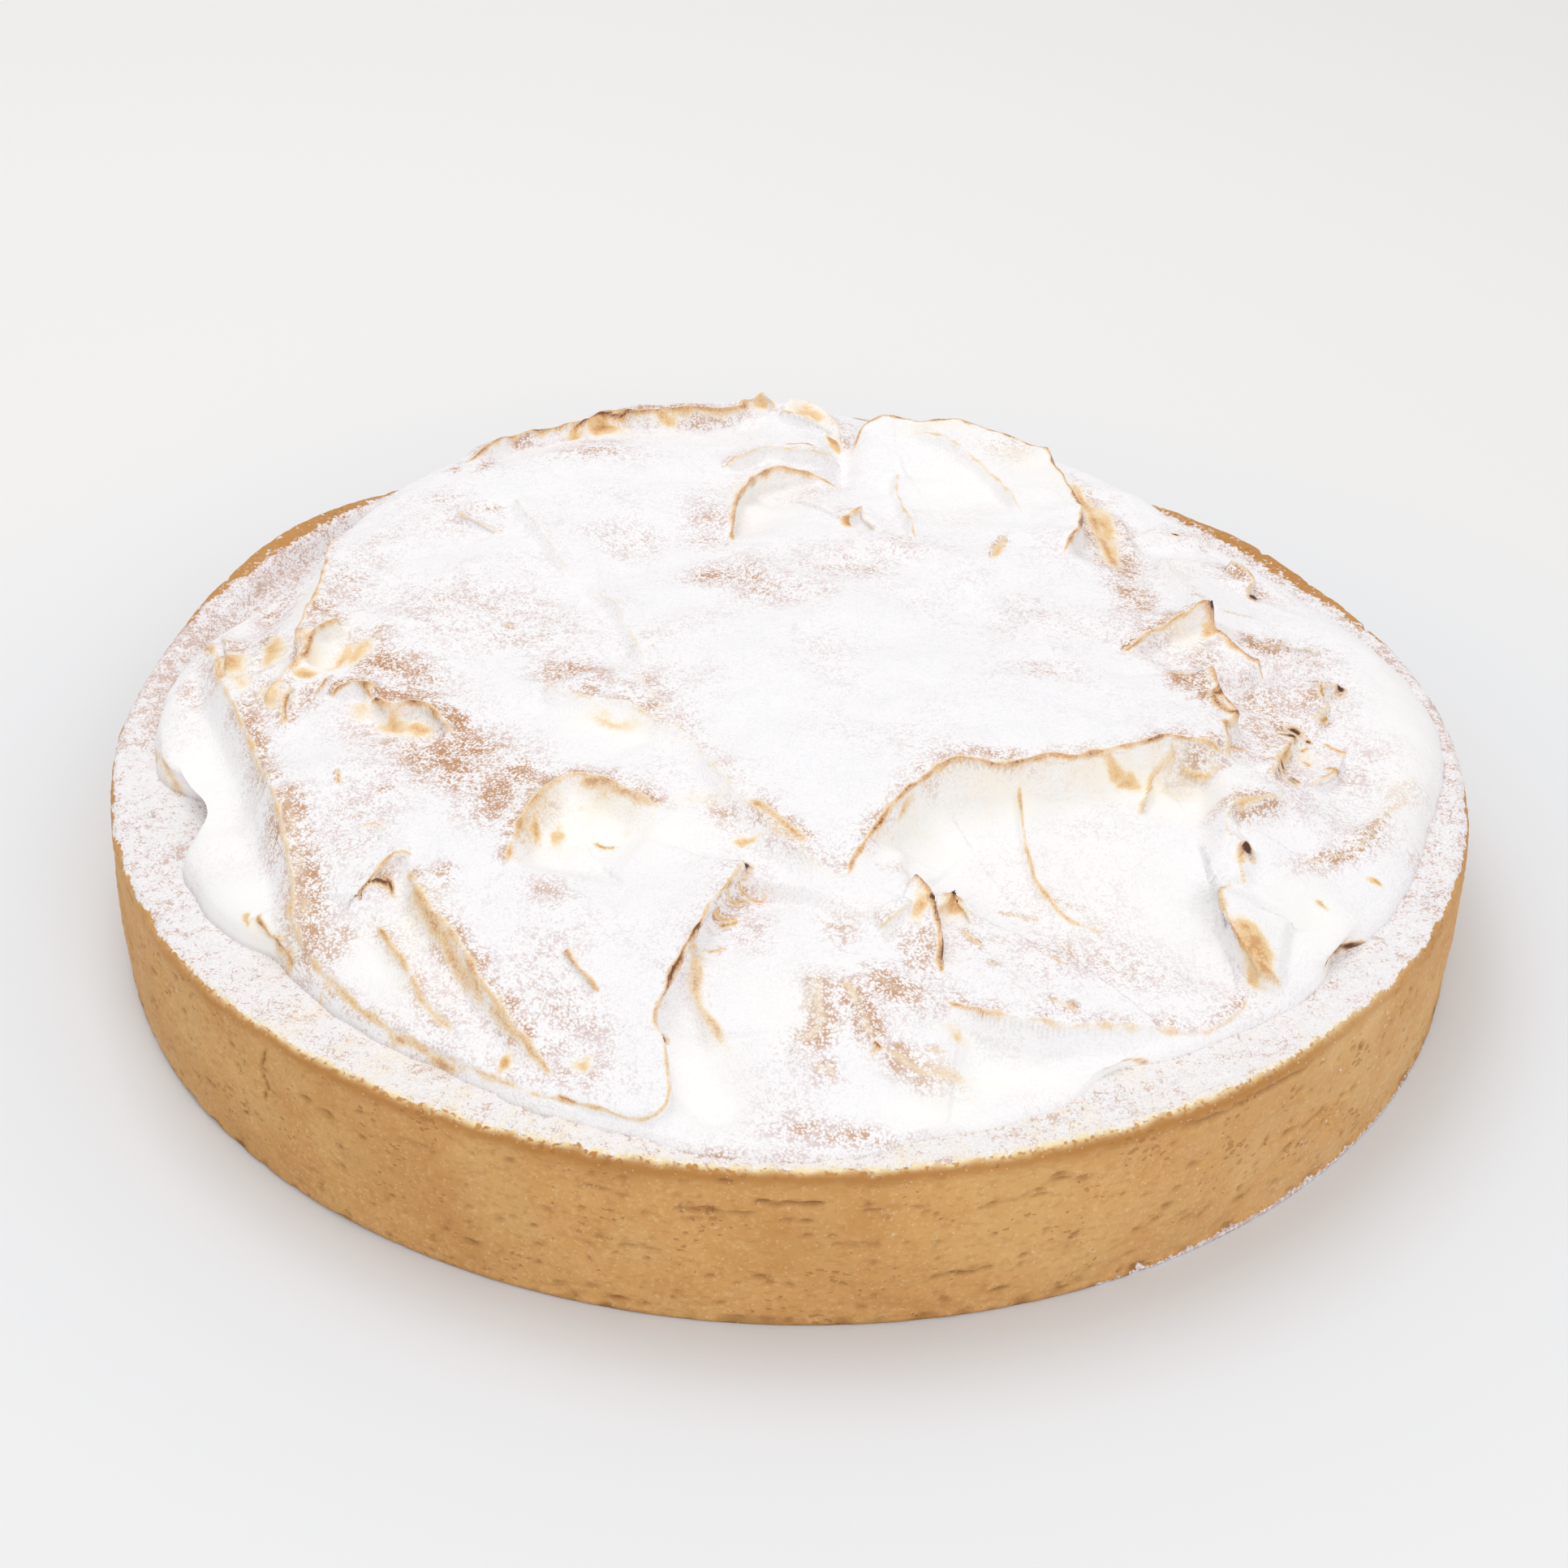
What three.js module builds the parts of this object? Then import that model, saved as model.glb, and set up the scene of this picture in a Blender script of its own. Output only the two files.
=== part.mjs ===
// A lemon meringue pie: a straight-sided shortcrust case baked in a plain ring, filled level with
// its rim, under a thick spread of meringue that a palette knife has pulled into folds and hollows.
// Millimetres, +Z up. The origin is the centre of the base, and the front of the pie faces -Y.
import * as THREE from "three";

// ---- Driving dimensions -------------------------------------------------------------------

const RING_RADIUS = 110; // inside of the 220 mm ring that the case was baked in
const CASE_HEIGHT = 27; // the ring's height, from the base to the top of the rim
const MERINGUE_DEPTH = 15; // general thickness of the spread meringue
const MERINGUE_RADIUS = 102.5; // mean radius of its edge, which stops a little inside the rim
const EDGE_THICKNESS = 1.4; // thickness of the meringue where it ends
const EDGE_THINNING = 1; // how much thinner it ends at the front and right
const LAYER_GAP = 0.3; // clearance between the case and the meringue

// ---- Small helpers ------------------------------------------------------------------------

const TAU = Math.PI * 2;
const radians = THREE.MathUtils.degToRad;
const clamp = THREE.MathUtils.clamp;

// Smooth step from 0 at the low value to 1 at the high value.
function ease(value, low, high) {
  return THREE.MathUtils.smoothstep(value, low, high);
}

// Signed angle in radians from one azimuth to another, the short way round.
function turn(angle, centre) {
  const difference = (angle - centre) % TAU;
  return difference - TAU * Math.round(difference / TAU);
}

// A bell-shaped swell round an azimuth: 1 at the centre, falling off over the spread, in degrees.
function swell(angle, centreDegrees, spreadDegrees) {
  const offset = turn(angle, radians(centreDegrees)) / radians(spreadDegrees);
  return Math.exp(-offset * offset);
}

// Sum of swells from rows of [azimuth, spread, amount].
function swells(angle, rows) {
  return rows.reduce((sum, [centre, spread, amount]) => sum + amount * swell(angle, centre, spread), 0);
}

// ---- Pastry case --------------------------------------------------------------------------

const RIM_LIFTS = [
  // azimuth, spread, how much higher the rim has baked there
  [143, 15, 2.6],
  [42, 10, 0.7],
];
const LIFT_START = 102; // the raised parts of the rim are outside this radius, clear of the meringue
const LIFT_FULL = 105.5;
const WALL_SEGMENTS = 108;
const WALL_BULGE = 0.5; // the wall swells a little at half height
const WALL_WAVE = 0.45; // uneven pressing of the dough into the ring
const EDGE_ROUND = 1.8; // rounding of the rim's outer edge
const FOOT_ROUND = 1.0; // worn lower edge

// Height of the case's top face, level but for the raised parts of its rim.
function caseTop(radius, angle) {
  const lift = clamp((radius - LIFT_START) / (LIFT_FULL - LIFT_START), 0, 1);
  return CASE_HEIGHT + lift * swells(angle, RIM_LIFTS);
}

// How far the wall stands inside the ring. It is never proud of the ring, and touches it at the
// front, back and sides.
function wallInset(angle, height) {
  const share = height / CASE_HEIGHT;
  const touch = Math.sin(2 * angle) ** 2;
  const waves = 0.5 + 0.25 * Math.sin(7 * angle + 0.8 + 2 * share) + 0.25 * Math.sin(11 * angle - 3 * share);
  return touch * WALL_WAVE * 2 * waves + WALL_BULGE * (1 - Math.sin(Math.PI * share));
}

// The case is turned from one profile, then each ring of vertices is pushed in or lifted to the
// uneven shape of the baked dough.
function makeCase() {
  const profile = [[0, 0], [RING_RADIUS - FOOT_ROUND, 0]];
  const wallSteps = 6;
  for (let i = 0; i <= wallSteps; i++) {
    profile.push([RING_RADIUS, FOOT_ROUND + ((CASE_HEIGHT - EDGE_ROUND - FOOT_ROUND) * i) / wallSteps]);
  }
  const topRadii = [RING_RADIUS - EDGE_ROUND, LIFT_FULL, LIFT_START, 0];
  for (const radius of topRadii) profile.push([radius, CASE_HEIGHT]);

  const geometry = new THREE.LatheGeometry(profile.map(([r, z]) => new THREE.Vector2(r, z)), WALL_SEGMENTS);
  geometry.rotateX(Math.PI / 2);
  const position = geometry.attributes.position;
  for (let i = 0; i < position.count; i++) {
    const x = position.getX(i);
    const y = position.getY(i);
    const height = position.getZ(i);
    const angle = Math.atan2(y, x);
    let radius = Math.hypot(x, y);
    if (radius < 1e-3) {
      position.setXYZ(i, 0, 0, height);
      continue;
    }
    const z = (height * caseTop(radius, angle)) / CASE_HEIGHT;
    radius -= ease(radius, LIFT_START, LIFT_FULL) * wallInset(angle, height);
    position.setXYZ(i, radius * Math.cos(angle), radius * Math.sin(angle), z);
  }
  return geometry;
}

// ---- Meringue -----------------------------------------------------------------------------

const EDGE_SWELLS = [
  // azimuth, spread, how far the edge runs out (or in) there
  [-91, 17, 4.8],
  [2, 17, 5],
  [178, 9, 1.8],
  [157, 15, -5.8],
  [-157, 5, -3.5],
  [-132, 9, -2],
  [-58, 12, -3],
  [45, 14, -2],
  [100, 22, -1.5],
];

// Broad mounds (+) and hollows (-): centre x, y, half widths along and across, turn in degrees, height.
const MOUNDS = [
  [12, -8, 44, 30, -10, 2.6], // the high middle
  [-35, 62, 30, 18, 10, 1.6], // back left shoulder
  [40, -60, 22, 16, 12, -4.2], // long hollow in the front right
  [-25, -56, 12, 9, 0, -2.6], // round hollow in the front left
  [26, 54, 15, 18, 15, -3], // inside of the swirl at the back
  [-91, 30, 7, 30, -6, -4.5], // gutter behind the left crest
  [-90, -30, 9, 30, 25, -3.6], // and the lower ground that it runs on to
  [82, 2, 10, 42, 4, -4.4], // terrace down the right side
  [-9, -97, 5, 7, 20, -3.5], // scoop at the front
  [20, -98, 9, 4, 5, -2], // scoop beside it
  [8, 72, 3, 12, 0, -3.2], // cleft at the back
  [-52, -36, 22, 8, -35, -1.4], // trough across the left
  [-24, 30, 9, 30, -35, -1.8], // long dips across the middle
  [22, 6, 8, 26, -50, -1.6],
  [-4, -14, 24, 8, 60, 1.2], // and the swells between them
  [-56, 14, 8, 22, -20, 1.4],
  [60, 50, 12, 20, 30, -2.2], // the back right falls away
];

// Folds that the knife left, each a crest with its low side on the right hand of its run:
// [points], rise of the crest, drop beyond it, run of the high side, run of the low side.
const FOLDS = [
  // the long lip over the front right hollow, and the tongue of the middle that meets it
  [[[8, -63], [15, -49], [22, -39.5], [35, -35], [50, -31], [60, -28], [67, -29]], 2.2, 4, 12, 16],
  [[[-31, 9], [-25, -8], [-20, -24], [-8, -43], [4, -59], [8, -63]], 0.8, 2.2, 12, 9],
  // round the front left hollow
  [[[-40, -62], [-38.5, -51], [-31, -42.5], [-24, -45.5], [-19, -49.5]], 1.5, 2.8, 7, 12],
  // the swoop at the front, from the edge up to its peak
  [[[-32, -98], [-19, -102.5], [-15, -97], [-17.5, -89], [-13, -78], [-6, -64]], 1.8, 3.2, 8, 10],
  // right of the front: a short ridge and the lip under the long hollow
  [[[22, -84], [20.5, -74], [17, -65]], 3, 1.6, 4, 5],
  [[[21, -85.5], [32, -86.4], [48, -83.5], [62, -79], [69, -71]], 1.8, 3, 7, 8],
  [[[10, -84], [13, -91], [20, -95.5], [28, -94.5]], 1, 1.6, 5, 5],
  // the curl at the right and the ridge above it
  [[[65, -53], [62.5, -60], [65.5, -66], [71, -69]], 4, 2.4, 9, 6],
  [[[67, -51], [64.5, -45], [69, -38.5], [77, -34]], 1.6, 1.2, 5, 6],
  // the right edge of the middle, with its peak
  [[[67, -29], [66, -24], [69.5, -18.5], [67.5, -11], [66, -5]], 1.6, 2.6, 6, 8],
  [[[76, -3], [71.5, 3], [69, 12.5]], 2.4, 2.4, 6, 8],
  [[[53, -1], [61, 7], [69, 12.5]], 1.6, 1.6, 7, 6],
  // the swirl at the back
  [[[45, 31], [49, 45], [48.5, 58], [44, 72], [31, 79], [17, 81], [9, 74]], 2.4, 2.8, 9, 8],
  [[[15, 73], [24, 74], [33, 64], [38.5, 50]], 1.2, 0.8, 5, 6],
  [[[-12, 41], [-11, 51], [-6, 59.5], [3, 61]], 2.2, 2.4, 7, 8],
  [[[-15, 60], [-8, 65], [0, 67], [8, 73]], 1.6, 1.4, 6, 6],
  [[[-57, 67], [-45, 76], [-35, 82], [-20, 81], [-7, 85], [5, 83]], 2.4, 1.6, 8, 9],
  // the left crest over its gutter, and the long outer fold that ends at the front
  [[[-83, 62], [-80, 42], [-78.5, 20], [-79, 2], [-83, -17]], 2.6, 3.4, 8, 7],
  [[[-103, 21], [-95, 3], [-86, -20], [-77, -40], [-71.5, -60], [-63, -77], [-48, -91], [-30, -99]], 2.6, 2.6, 5, 7],
  // torn peaks on the left, and the two ridges in front of them
  [[[-80, -3], [-76, 2.5], [-70, 6]], 2.2, 3, 6, 6],
  [[[-72, -18], [-66, -15], [-59, -21], [-51, -28]], 2, 2.6, 7, 6],
  [[[-36, -14], [-33, -21], [-24, -23.5], [-17, -30]], 0.9, 1.8, 9, 7],
  [[[-62, -64], [-57, -59], [-51, -64], [-44, -78], [-30, -96]], 1.4, 2.6, 8, 6],
  [[[-59, -70], [-51, -81], [-42, -90]], 1, 1.8, 4, 5],
];

// Torn or pulled-up points: x, y, height, radius.
const PEAKS = [
  [-6, -64, 3.8, 5],
  [18, -66.5, 3.4, 4.6],
  [25, -66, 3.4, 4.6],
  [67, -49.5, 4, 5],
  [69, 13, 4, 5.4],
  [67.5, -7, 2.4, 5],
  [-7, 86, 3, 5],
  [45, 71, 2.2, 5],
  [10.5, 43, 2.6, 5],
  [-66, -16, 2.2, 5],
  [-36, 81, 2.6, 6],
  [67, -28, 2.2, 5],
];

const UNDERSIDE = CASE_HEIGHT + LAYER_GAP;
const GRID = 72; // cells across the meringue
const SNAP = 0.5; // share of a cell that a vertex may move to lie on a crest
const CREST_RUN = 3.4; // how far beyond its line a crest takes to come down
const FACE_RUN = 2.6; // how soon the face beyond it reaches its full depth
const RELIEF = 1.3; // strength of all folds
const EVENING = 0.35; // share by which each point is drawn to the middle of its neighbours

const edgeRadius = (angle) => MERINGUE_RADIUS + swells(angle, EDGE_SWELLS);

// A fold as a smooth chain of short straight pieces, with its box for quick tests.
function prepareFold([points, rise, drop, highRun, lowRun]) {
  const curve = new THREE.CatmullRomCurve3(points.map(([x, y]) => new THREE.Vector3(x, y, 0)), false, "centripetal");
  const chain = curve.getSpacedPoints(points.length * 5);
  const reach = 3.5 * Math.max(highRun, lowRun);
  return { chain, rise: RELIEF * rise, drop: RELIEF * drop, highRun, lowRun, reach };
}
const folds = FOLDS.map(prepareFold);

// The nearest point of a fold: signed distance (positive on the low side), share of its length, point.
function nearest(fold, x, y) {
  let best = { distance: Infinity };
  const last = fold.chain.length - 1;
  for (let i = 0; i < last; i++) {
    const a = fold.chain[i];
    const b = fold.chain[i + 1];
    const dx = b.x - a.x;
    const dy = b.y - a.y;
    const t = clamp(((x - a.x) * dx + (y - a.y) * dy) / (dx * dx + dy * dy), 0, 1);
    const px = a.x + t * dx;
    const py = a.y + t * dy;
    const distance = Math.hypot(x - px, y - py);
    if (distance < best.distance) {
      const side = Math.sign((x - px) * dy - (y - py) * dx) || 1;
      best = { distance, signed: side * distance, share: (i + t) / last, px, py };
    }
  }
  return best;
}

// The cut across a fold: a slow rise to the crest, a short drop, then a slow return.
function foldHeight(fold, x, y) {
  const hit = nearest(fold, x, y);
  if (hit.distance > fold.reach) return 0;
  const ends = ease(hit.share, 0, 0.16) * (1 - ease(hit.share, 0.88, 1));
  if (hit.signed <= 0) return ends * fold.rise * Math.exp(hit.signed / fold.highRun);
  const crest = fold.rise * (1 - ease(hit.signed, 0, CREST_RUN));
  const face = (1 - Math.exp(-hit.signed / FACE_RUN)) * Math.exp(-hit.signed / fold.lowRun);
  return ends * (crest - 1.25 * fold.drop * face);
}

function moundHeight([cx, cy, along, across, degrees, height], x, y) {
  const c = Math.cos(radians(degrees));
  const s = Math.sin(radians(degrees));
  const u = ((x - cx) * c + (y - cy) * s) / along;
  const v = (-(x - cx) * s + (y - cy) * c) / across;
  return height * Math.exp(-(u * u + v * v));
}

function peakHeight([cx, cy, height, radius], x, y) {
  const distance = Math.hypot(x - cx, y - cy) / radius;
  return height * Math.max(0, 1 - distance) ** 1.3;
}

// Thickness of the meringue over its underside at share s (0 to 1) of the way out to its edge.
function thickness(x, y, s) {
  const angle = Math.atan2(y, x);
  // the back stands steep, and the front falls away gently
  const softness = 6 + 8 * swell(angle, 95, 50) - 1.6 * swell(angle, -80, 45);
  const dome = Math.max(0, 1 - s ** softness) ** (0.75 + 0.5 * swell(angle, -75, 60));
  let height = MERINGUE_DEPTH * dome;
  const inside = 1 - ease(s, 0.9, 1);
  for (const mound of MOUNDS) height += inside * moundHeight(mound, x, y);
  for (const fold of folds) height += inside * foldHeight(fold, x, y);
  for (const peak of PEAKS) height += inside * peakHeight(peak, x, y);
  height += inside * 0.5 * (Math.sin(x / 7 + y / 13) + Math.sin(y / 6 - x / 17 + 1));
  const thinning = clamp(swell(angle, -75, 42) + 0.9 * swell(angle, -10, 30), 0, 1);
  return Math.max(height, 0) + EDGE_THICKNESS - EDGE_THINNING * thinning;
}

// Maps a square grid onto the unit disc with cells of equal area.
function squareToDisc(a, b) {
  if (a === 0 && b === 0) return [0, 0];
  const wide = Math.abs(a) > Math.abs(b);
  const radius = wide ? a : b;
  const angle = wide ? (Math.PI / 4) * (b / a) : Math.PI / 2 - (Math.PI / 4) * (a / b);
  return [radius * Math.cos(angle), radius * Math.sin(angle)];
}

// Moves a point onto the nearest crest if it is close by, so that crests run along mesh edges.
function snapToCrest(x, y, cell) {
  let best = { distance: SNAP * cell };
  for (const fold of folds) {
    const hit = nearest(fold, x, y);
    if (hit.distance < best.distance) best = hit;
  }
  return best.px === undefined ? [x, y] : [best.px, best.py];
}

// Draws each inner point of the grid towards the middle of its four neighbours, so that the faces
// of the folds come out even.
function evenOut(vertices, across) {
  const before = vertices.slice();
  for (let j = 1; j < across - 1; j++) {
    for (let i = 1; i < across - 1; i++) {
      const k = 3 * (j * across + i);
      for (let axis = 0; axis < 3; axis++) {
        const n = k + axis;
        const middle = (before[n - 3] + before[n + 3] + before[n - 3 * across] + before[n + 3 * across]) / 4;
        vertices[n] = before[n] + EVENING * (middle - before[n]);
      }
    }
  }
}

function makeMeringue() {
  const vertices = [];
  const faces = [];
  const across = GRID + 1;
  const cell = (2 * MERINGUE_RADIUS) / GRID;

  // the top
  for (let j = 0; j <= GRID; j++) {
    for (let i = 0; i <= GRID; i++) {
      const [u, v] = squareToDisc((2 * i) / GRID - 1, (2 * j) / GRID - 1);
      const s = Math.min(1, Math.hypot(u, v));
      const angle = Math.atan2(v, u);
      const edge = edgeRadius(angle);
      let x = s * edge * Math.cos(angle);
      let y = s * edge * Math.sin(angle);
      if (s < 0.95) [x, y] = snapToCrest(x, y, cell);
      vertices.push(x, y, UNDERSIDE + thickness(x, y, s));
    }
  }
  evenOut(vertices, across);
  for (let j = 0; j < GRID; j++) {
    for (let i = 0; i < GRID; i++) {
      const a = j * across + i;
      const b = a + 1;
      const c = a + across;
      const d = c + 1;
      // the shorter diagonal in height keeps crests whole
      const z = (k) => vertices[3 * k + 2];
      if (Math.abs(z(a) - z(d)) < Math.abs(z(b) - z(c))) faces.push(a, b, d, a, d, c);
      else faces.push(a, b, c, b, d, c);
    }
  }

  // the edge, and the flat underside with a ring and a centre point
  const rim = [];
  for (let i = 0; i < GRID; i++) rim.push(i);
  for (let j = 0; j < GRID; j++) rim.push(j * across + GRID);
  for (let i = GRID; i > 0; i--) rim.push(GRID * across + i);
  for (let j = GRID; j > 0; j--) rim.push(j * across);
  const foot = vertices.length / 3;
  for (const k of rim) vertices.push(vertices[3 * k], vertices[3 * k + 1], UNDERSIDE);
  const centre = vertices.length / 3;
  vertices.push(0, 0, UNDERSIDE);
  for (let n = 0; n < rim.length; n++) {
    const m = (n + 1) % rim.length;
    faces.push(rim[n], foot + n, foot + m, rim[n], foot + m, rim[m]);
    faces.push(foot + n, centre, foot + m);
  }

  const geometry = new THREE.BufferGeometry();
  geometry.setAttribute("position", new THREE.Float32BufferAttribute(vertices, 3));
  geometry.setIndex(faces);
  geometry.computeVertexNormals();
  return geometry;
}

// ---- The pie ------------------------------------------------------------------------------

const pastry = new THREE.MeshStandardMaterial({ color: 0xc99555, roughness: 0.85, metalness: 0 });
const meringue = new THREE.MeshStandardMaterial({ color: 0xf6f2ea, roughness: 0.7, metalness: 0 });

function named(name, geometry, material) {
  const mesh = new THREE.Mesh(geometry, material);
  mesh.name = name;
  return mesh;
}

const pie = new THREE.Group();
pie.add(named("pastry_case", makeCase(), pastry));
pie.add(named("meringue_topping", makeMeringue(), meringue));

export default pie;
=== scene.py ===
"""A lemon meringue pie: a ring-baked shortcrust case under a thick spread of torn, folded meringue
that was toasted with a flame and then dusted with icing sugar."""
import math

import bpy
import numpy as np
from mathutils import Matrix


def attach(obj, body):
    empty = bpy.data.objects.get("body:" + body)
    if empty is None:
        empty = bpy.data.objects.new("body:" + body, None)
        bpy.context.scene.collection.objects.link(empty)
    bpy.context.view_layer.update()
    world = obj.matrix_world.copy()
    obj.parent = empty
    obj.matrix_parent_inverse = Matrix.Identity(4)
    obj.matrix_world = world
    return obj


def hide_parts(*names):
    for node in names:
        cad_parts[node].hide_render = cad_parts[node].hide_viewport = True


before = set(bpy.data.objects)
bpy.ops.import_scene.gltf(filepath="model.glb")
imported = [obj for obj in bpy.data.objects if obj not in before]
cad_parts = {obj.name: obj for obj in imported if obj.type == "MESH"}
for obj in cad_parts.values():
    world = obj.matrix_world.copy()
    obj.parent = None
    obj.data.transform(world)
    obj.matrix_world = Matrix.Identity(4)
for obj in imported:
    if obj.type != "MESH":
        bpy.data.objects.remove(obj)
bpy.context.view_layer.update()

# ------------------------------------------------------------------------------------------
# Camera: an arm's length in front of the pie and above the table, looking down on its front.
# It is turned and tilted by a degree or so, as a camera held in the hand is.
# ------------------------------------------------------------------------------------------
CAMERA_BACK, CAMERA_UP = 0.3636, 0.2536
camera_data = bpy.data.cameras.new("camera")
camera_data.sensor_width = 36
camera_data.lens = 59.63
camera = bpy.data.objects.new("camera", camera_data)
camera.location = (0, -CAMERA_BACK, CAMERA_UP)
look_down, swing, tilt = math.radians(33.17), math.radians(0.16), math.radians(1.53)
level_view = Matrix.Rotation(swing, 3, "Z") @ Matrix.Rotation(math.radians(90) - look_down, 3, "X")
camera.rotation_euler = (level_view @ Matrix.Rotation(tilt, 3, "Z")).to_euler()
bpy.context.scene.collection.objects.link(camera)
bpy.context.scene.camera = camera

# ------------------------------------------------------------------------------------------
# Studio: a pale table that runs on behind the pie, painted darker and cooler near its foot as the shade
# there, and broad soft light from above and from the front.
# ------------------------------------------------------------------------------------------
TABLE_HALF = 4
PAINTED_SHADE_RADIUS, WARM_RADIUS = 0.11, 0.2
PAINTED_SHADE_TABLE, WARM_TABLE = (0.78, 0.812, 0.85, 1), (0.845, 0.835, 0.83, 1)


def fill(node, inputs):
    """Sets inputs of a node, each to a number, a colour or another node's output."""
    for name, value in inputs.items():
        if isinstance(value, bpy.types.NodeSocket):
            node.id_data.links.new(value, node.inputs[name])
        else:
            node.inputs[name].default_value = value


def add_node(tree, kind, inputs=None, **settings):
    """Adds a node with the given inputs, and with settings such as its operation."""
    node = tree.nodes.new(kind)
    for name, setting in settings.items():
        setattr(node, name, setting)
    fill(node, inputs or {})
    return node


def tree_of(*inputs):
    """The node tree of the first input that comes from a node."""
    return next(value.id_data for value in inputs if isinstance(value, bpy.types.NodeSocket))


def mixed(share, a, b):
    """Goes from colour a to colour b as the share goes from 0 to 1."""
    inputs = {0: share, 6: a, 7: b}
    return add_node(tree_of(share, a, b), "ShaderNodeMix", inputs, data_type="RGBA").outputs[2]


floor_mesh = bpy.data.meshes.new("floor")
floor_corners = [(TABLE_HALF * i, TABLE_HALF * j, 0) for i, j in ((-1, -1), (1, -1), (1, 1), (-1, 1))]
floor_mesh.from_pydata(floor_corners, [], [(0, 1, 2, 3)])
floor = bpy.data.objects.new("floor", floor_mesh)
bpy.context.scene.collection.objects.link(floor)
floor_paint = bpy.data.materials.new("pale_table")
floor_paint.use_nodes = True
floor_tree = floor_paint.node_tree
floor_place = add_node(floor_tree, "ShaderNodeTexCoord").outputs["Object"]
# painted shade: the table is darker and cooler near the pie's foot and goes to its own colour further out
from_middle = add_node(floor_tree, "ShaderNodeVectorMath", {0: floor_place}, operation="LENGTH")
outward_inputs = {"Value": from_middle.outputs["Value"], "From Min": PAINTED_SHADE_RADIUS, "From Max": WARM_RADIUS}
outward = add_node(floor_tree, "ShaderNodeMapRange", outward_inputs)
floor_colour = mixed(outward.outputs["Result"], PAINTED_SHADE_TABLE, WARM_TABLE)
fill(floor_tree.nodes["Principled BSDF"], {"Base Color": floor_colour, "Roughness": 0.7})
floor_mesh.materials.append(floor_paint)

world = bpy.data.worlds.new("studio")
world.use_nodes = True
fill(world.node_tree.nodes["Background"], {"Color": (1, 1, 1, 1), "Strength": 0.68})
bpy.context.scene.world = world
bpy.context.scene.view_settings.view_transform = "Standard"


def soft_light(name, place, aim, size, power):
    """A square light of the given size in metres, turned to face a point."""
    data = bpy.data.lights.new(name, "AREA")
    data.size = size
    data.energy = power
    lamp = bpy.data.objects.new(name, data)
    lamp.location = place
    way_x, way_y, way_z = np.array(aim) - np.array(place)
    pitch = math.atan2(math.hypot(way_x, way_y), -way_z)
    lamp.rotation_euler = (pitch, 0, math.atan2(way_y, way_x) - math.pi / 2)
    bpy.context.scene.collection.objects.link(lamp)


soft_light("overhead", (-0.25, 0.35, 1.1), (0, 0, 0), 0.7, 4.2)
soft_light("front_fill", (0.4, -1.1, 0.8), (0, 0, 0.02), 0.8, 5)

# ------------------------------------------------------------------------------------------
# Pastry case: sweet shortcrust pressed into a plain steel ring and baked until golden. The wall
# is close-grained, with small flat pores and a few cracks; the top edge is browner and crumbly.
# Its sizes, here and in the mesh, are in millimetres.
# ------------------------------------------------------------------------------------------
RING_RADIUS = 110.0
CASE_HEIGHT = 27.0
EDGE_ROUND = 1.8
FOOT_ROUND = 0.9
CASE_SEGMENTS = 1280
FOOT_ROWS = 3
WALL_ROWS = 50
EDGE_ROWS = 8
RIM_ROWS = 24
RIM_INNER = 94.0
LIFT_START = 102.0
LIFT_FULL = 105.5
RIM_LIFTS = [(147, 17, 4.0), (42, 10, 0.9)]  # azimuth, spread and extra height of the rim


def ease(value, low, high):
    """0 up to the low value, 1 from the high value, smooth between."""
    share = np.clip((value - low) / (high - low), 0, 1)
    return share * share * (3 - 2 * share)


def bell(value, width):
    """1 where the value is 0, falling off on both sides over the width."""
    return np.exp(-((value / width) ** 2))


def swells(angle, rows):
    """The sum of swells round the pie, from rows of azimuth in degrees, spread and amount."""
    turned = np.degrees(angle) + 180
    return sum(amount * bell((turned - centre) % 360 - 180, spread) for centre, spread, amount in rows)


def rough(x, y, seed, around=None):
    """Smooth random swells, one to a unit, between about -1 and 1. x may close on itself."""
    xi, yi = np.floor(x).astype(np.int64), np.floor(y).astype(np.int64)
    xf, yf = x - xi, y - yi
    u = xf ** 3 * (xf * (xf * 6 - 15) + 10)
    v = yf ** 3 * (yf * (yf * 6 - 15) + 10)

    def corner(i, j):
        column = (xi + i) % around if around else xi + i
        mixed_up = (column * 374761393 + (yi + j) * 668265263 + seed * 974634777) & 0xFFFFFFFF
        mixed_up = ((mixed_up ^ (mixed_up >> 13)) * 1274126177) & 0xFFFFFFFF
        way = ((mixed_up ^ (mixed_up >> 16)) & 0xFFFF) / 65536.0 * 2 * np.pi
        return np.cos(way) * (xf - i) + np.sin(way) * (yf - j)

    low = corner(0, 0) * (1 - u) + corner(1, 0) * u
    high = corner(0, 1) * (1 - u) + corner(1, 1) * u
    return 1.5 * (low * (1 - v) + high * v)


def nearest_on(chain, px, py):
    """How points lie to a chain: signed distance (positive on its right), share of its length,
    unit way across as x and y, and the chain's length."""
    best = np.full(px.shape, 1e9)
    run, side_x, side_y = np.zeros(px.shape), np.zeros(px.shape), np.zeros(px.shape)
    sign = np.ones(px.shape)
    lengths = np.hypot(*np.diff(chain, axis=0).T)
    starts = np.concatenate([[0], np.cumsum(lengths)])
    for (ax, ay), (bx, by), start, length in zip(chain[:-1], chain[1:], starts, lengths):
        dx, dy = (bx - ax) / length, (by - ay) / length
        t = np.clip((px - ax) * dx + (py - ay) * dy, 0, length)
        ox, oy = px - ax - t * dx, py - ay - t * dy
        distance = np.hypot(ox, oy)
        closer = distance < best
        best = np.where(closer, distance, best)
        run = np.where(closer, start + t, run)
        sign = np.where(closer, np.where(ox * dy - oy * dx >= 0, 1.0, -1.0), sign)
        side_x = np.where(closer, dy, side_x)
        side_y = np.where(closer, -dx, side_y)
    return sign * best, run / starts[-1], side_x, side_y, starts[-1]


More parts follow.
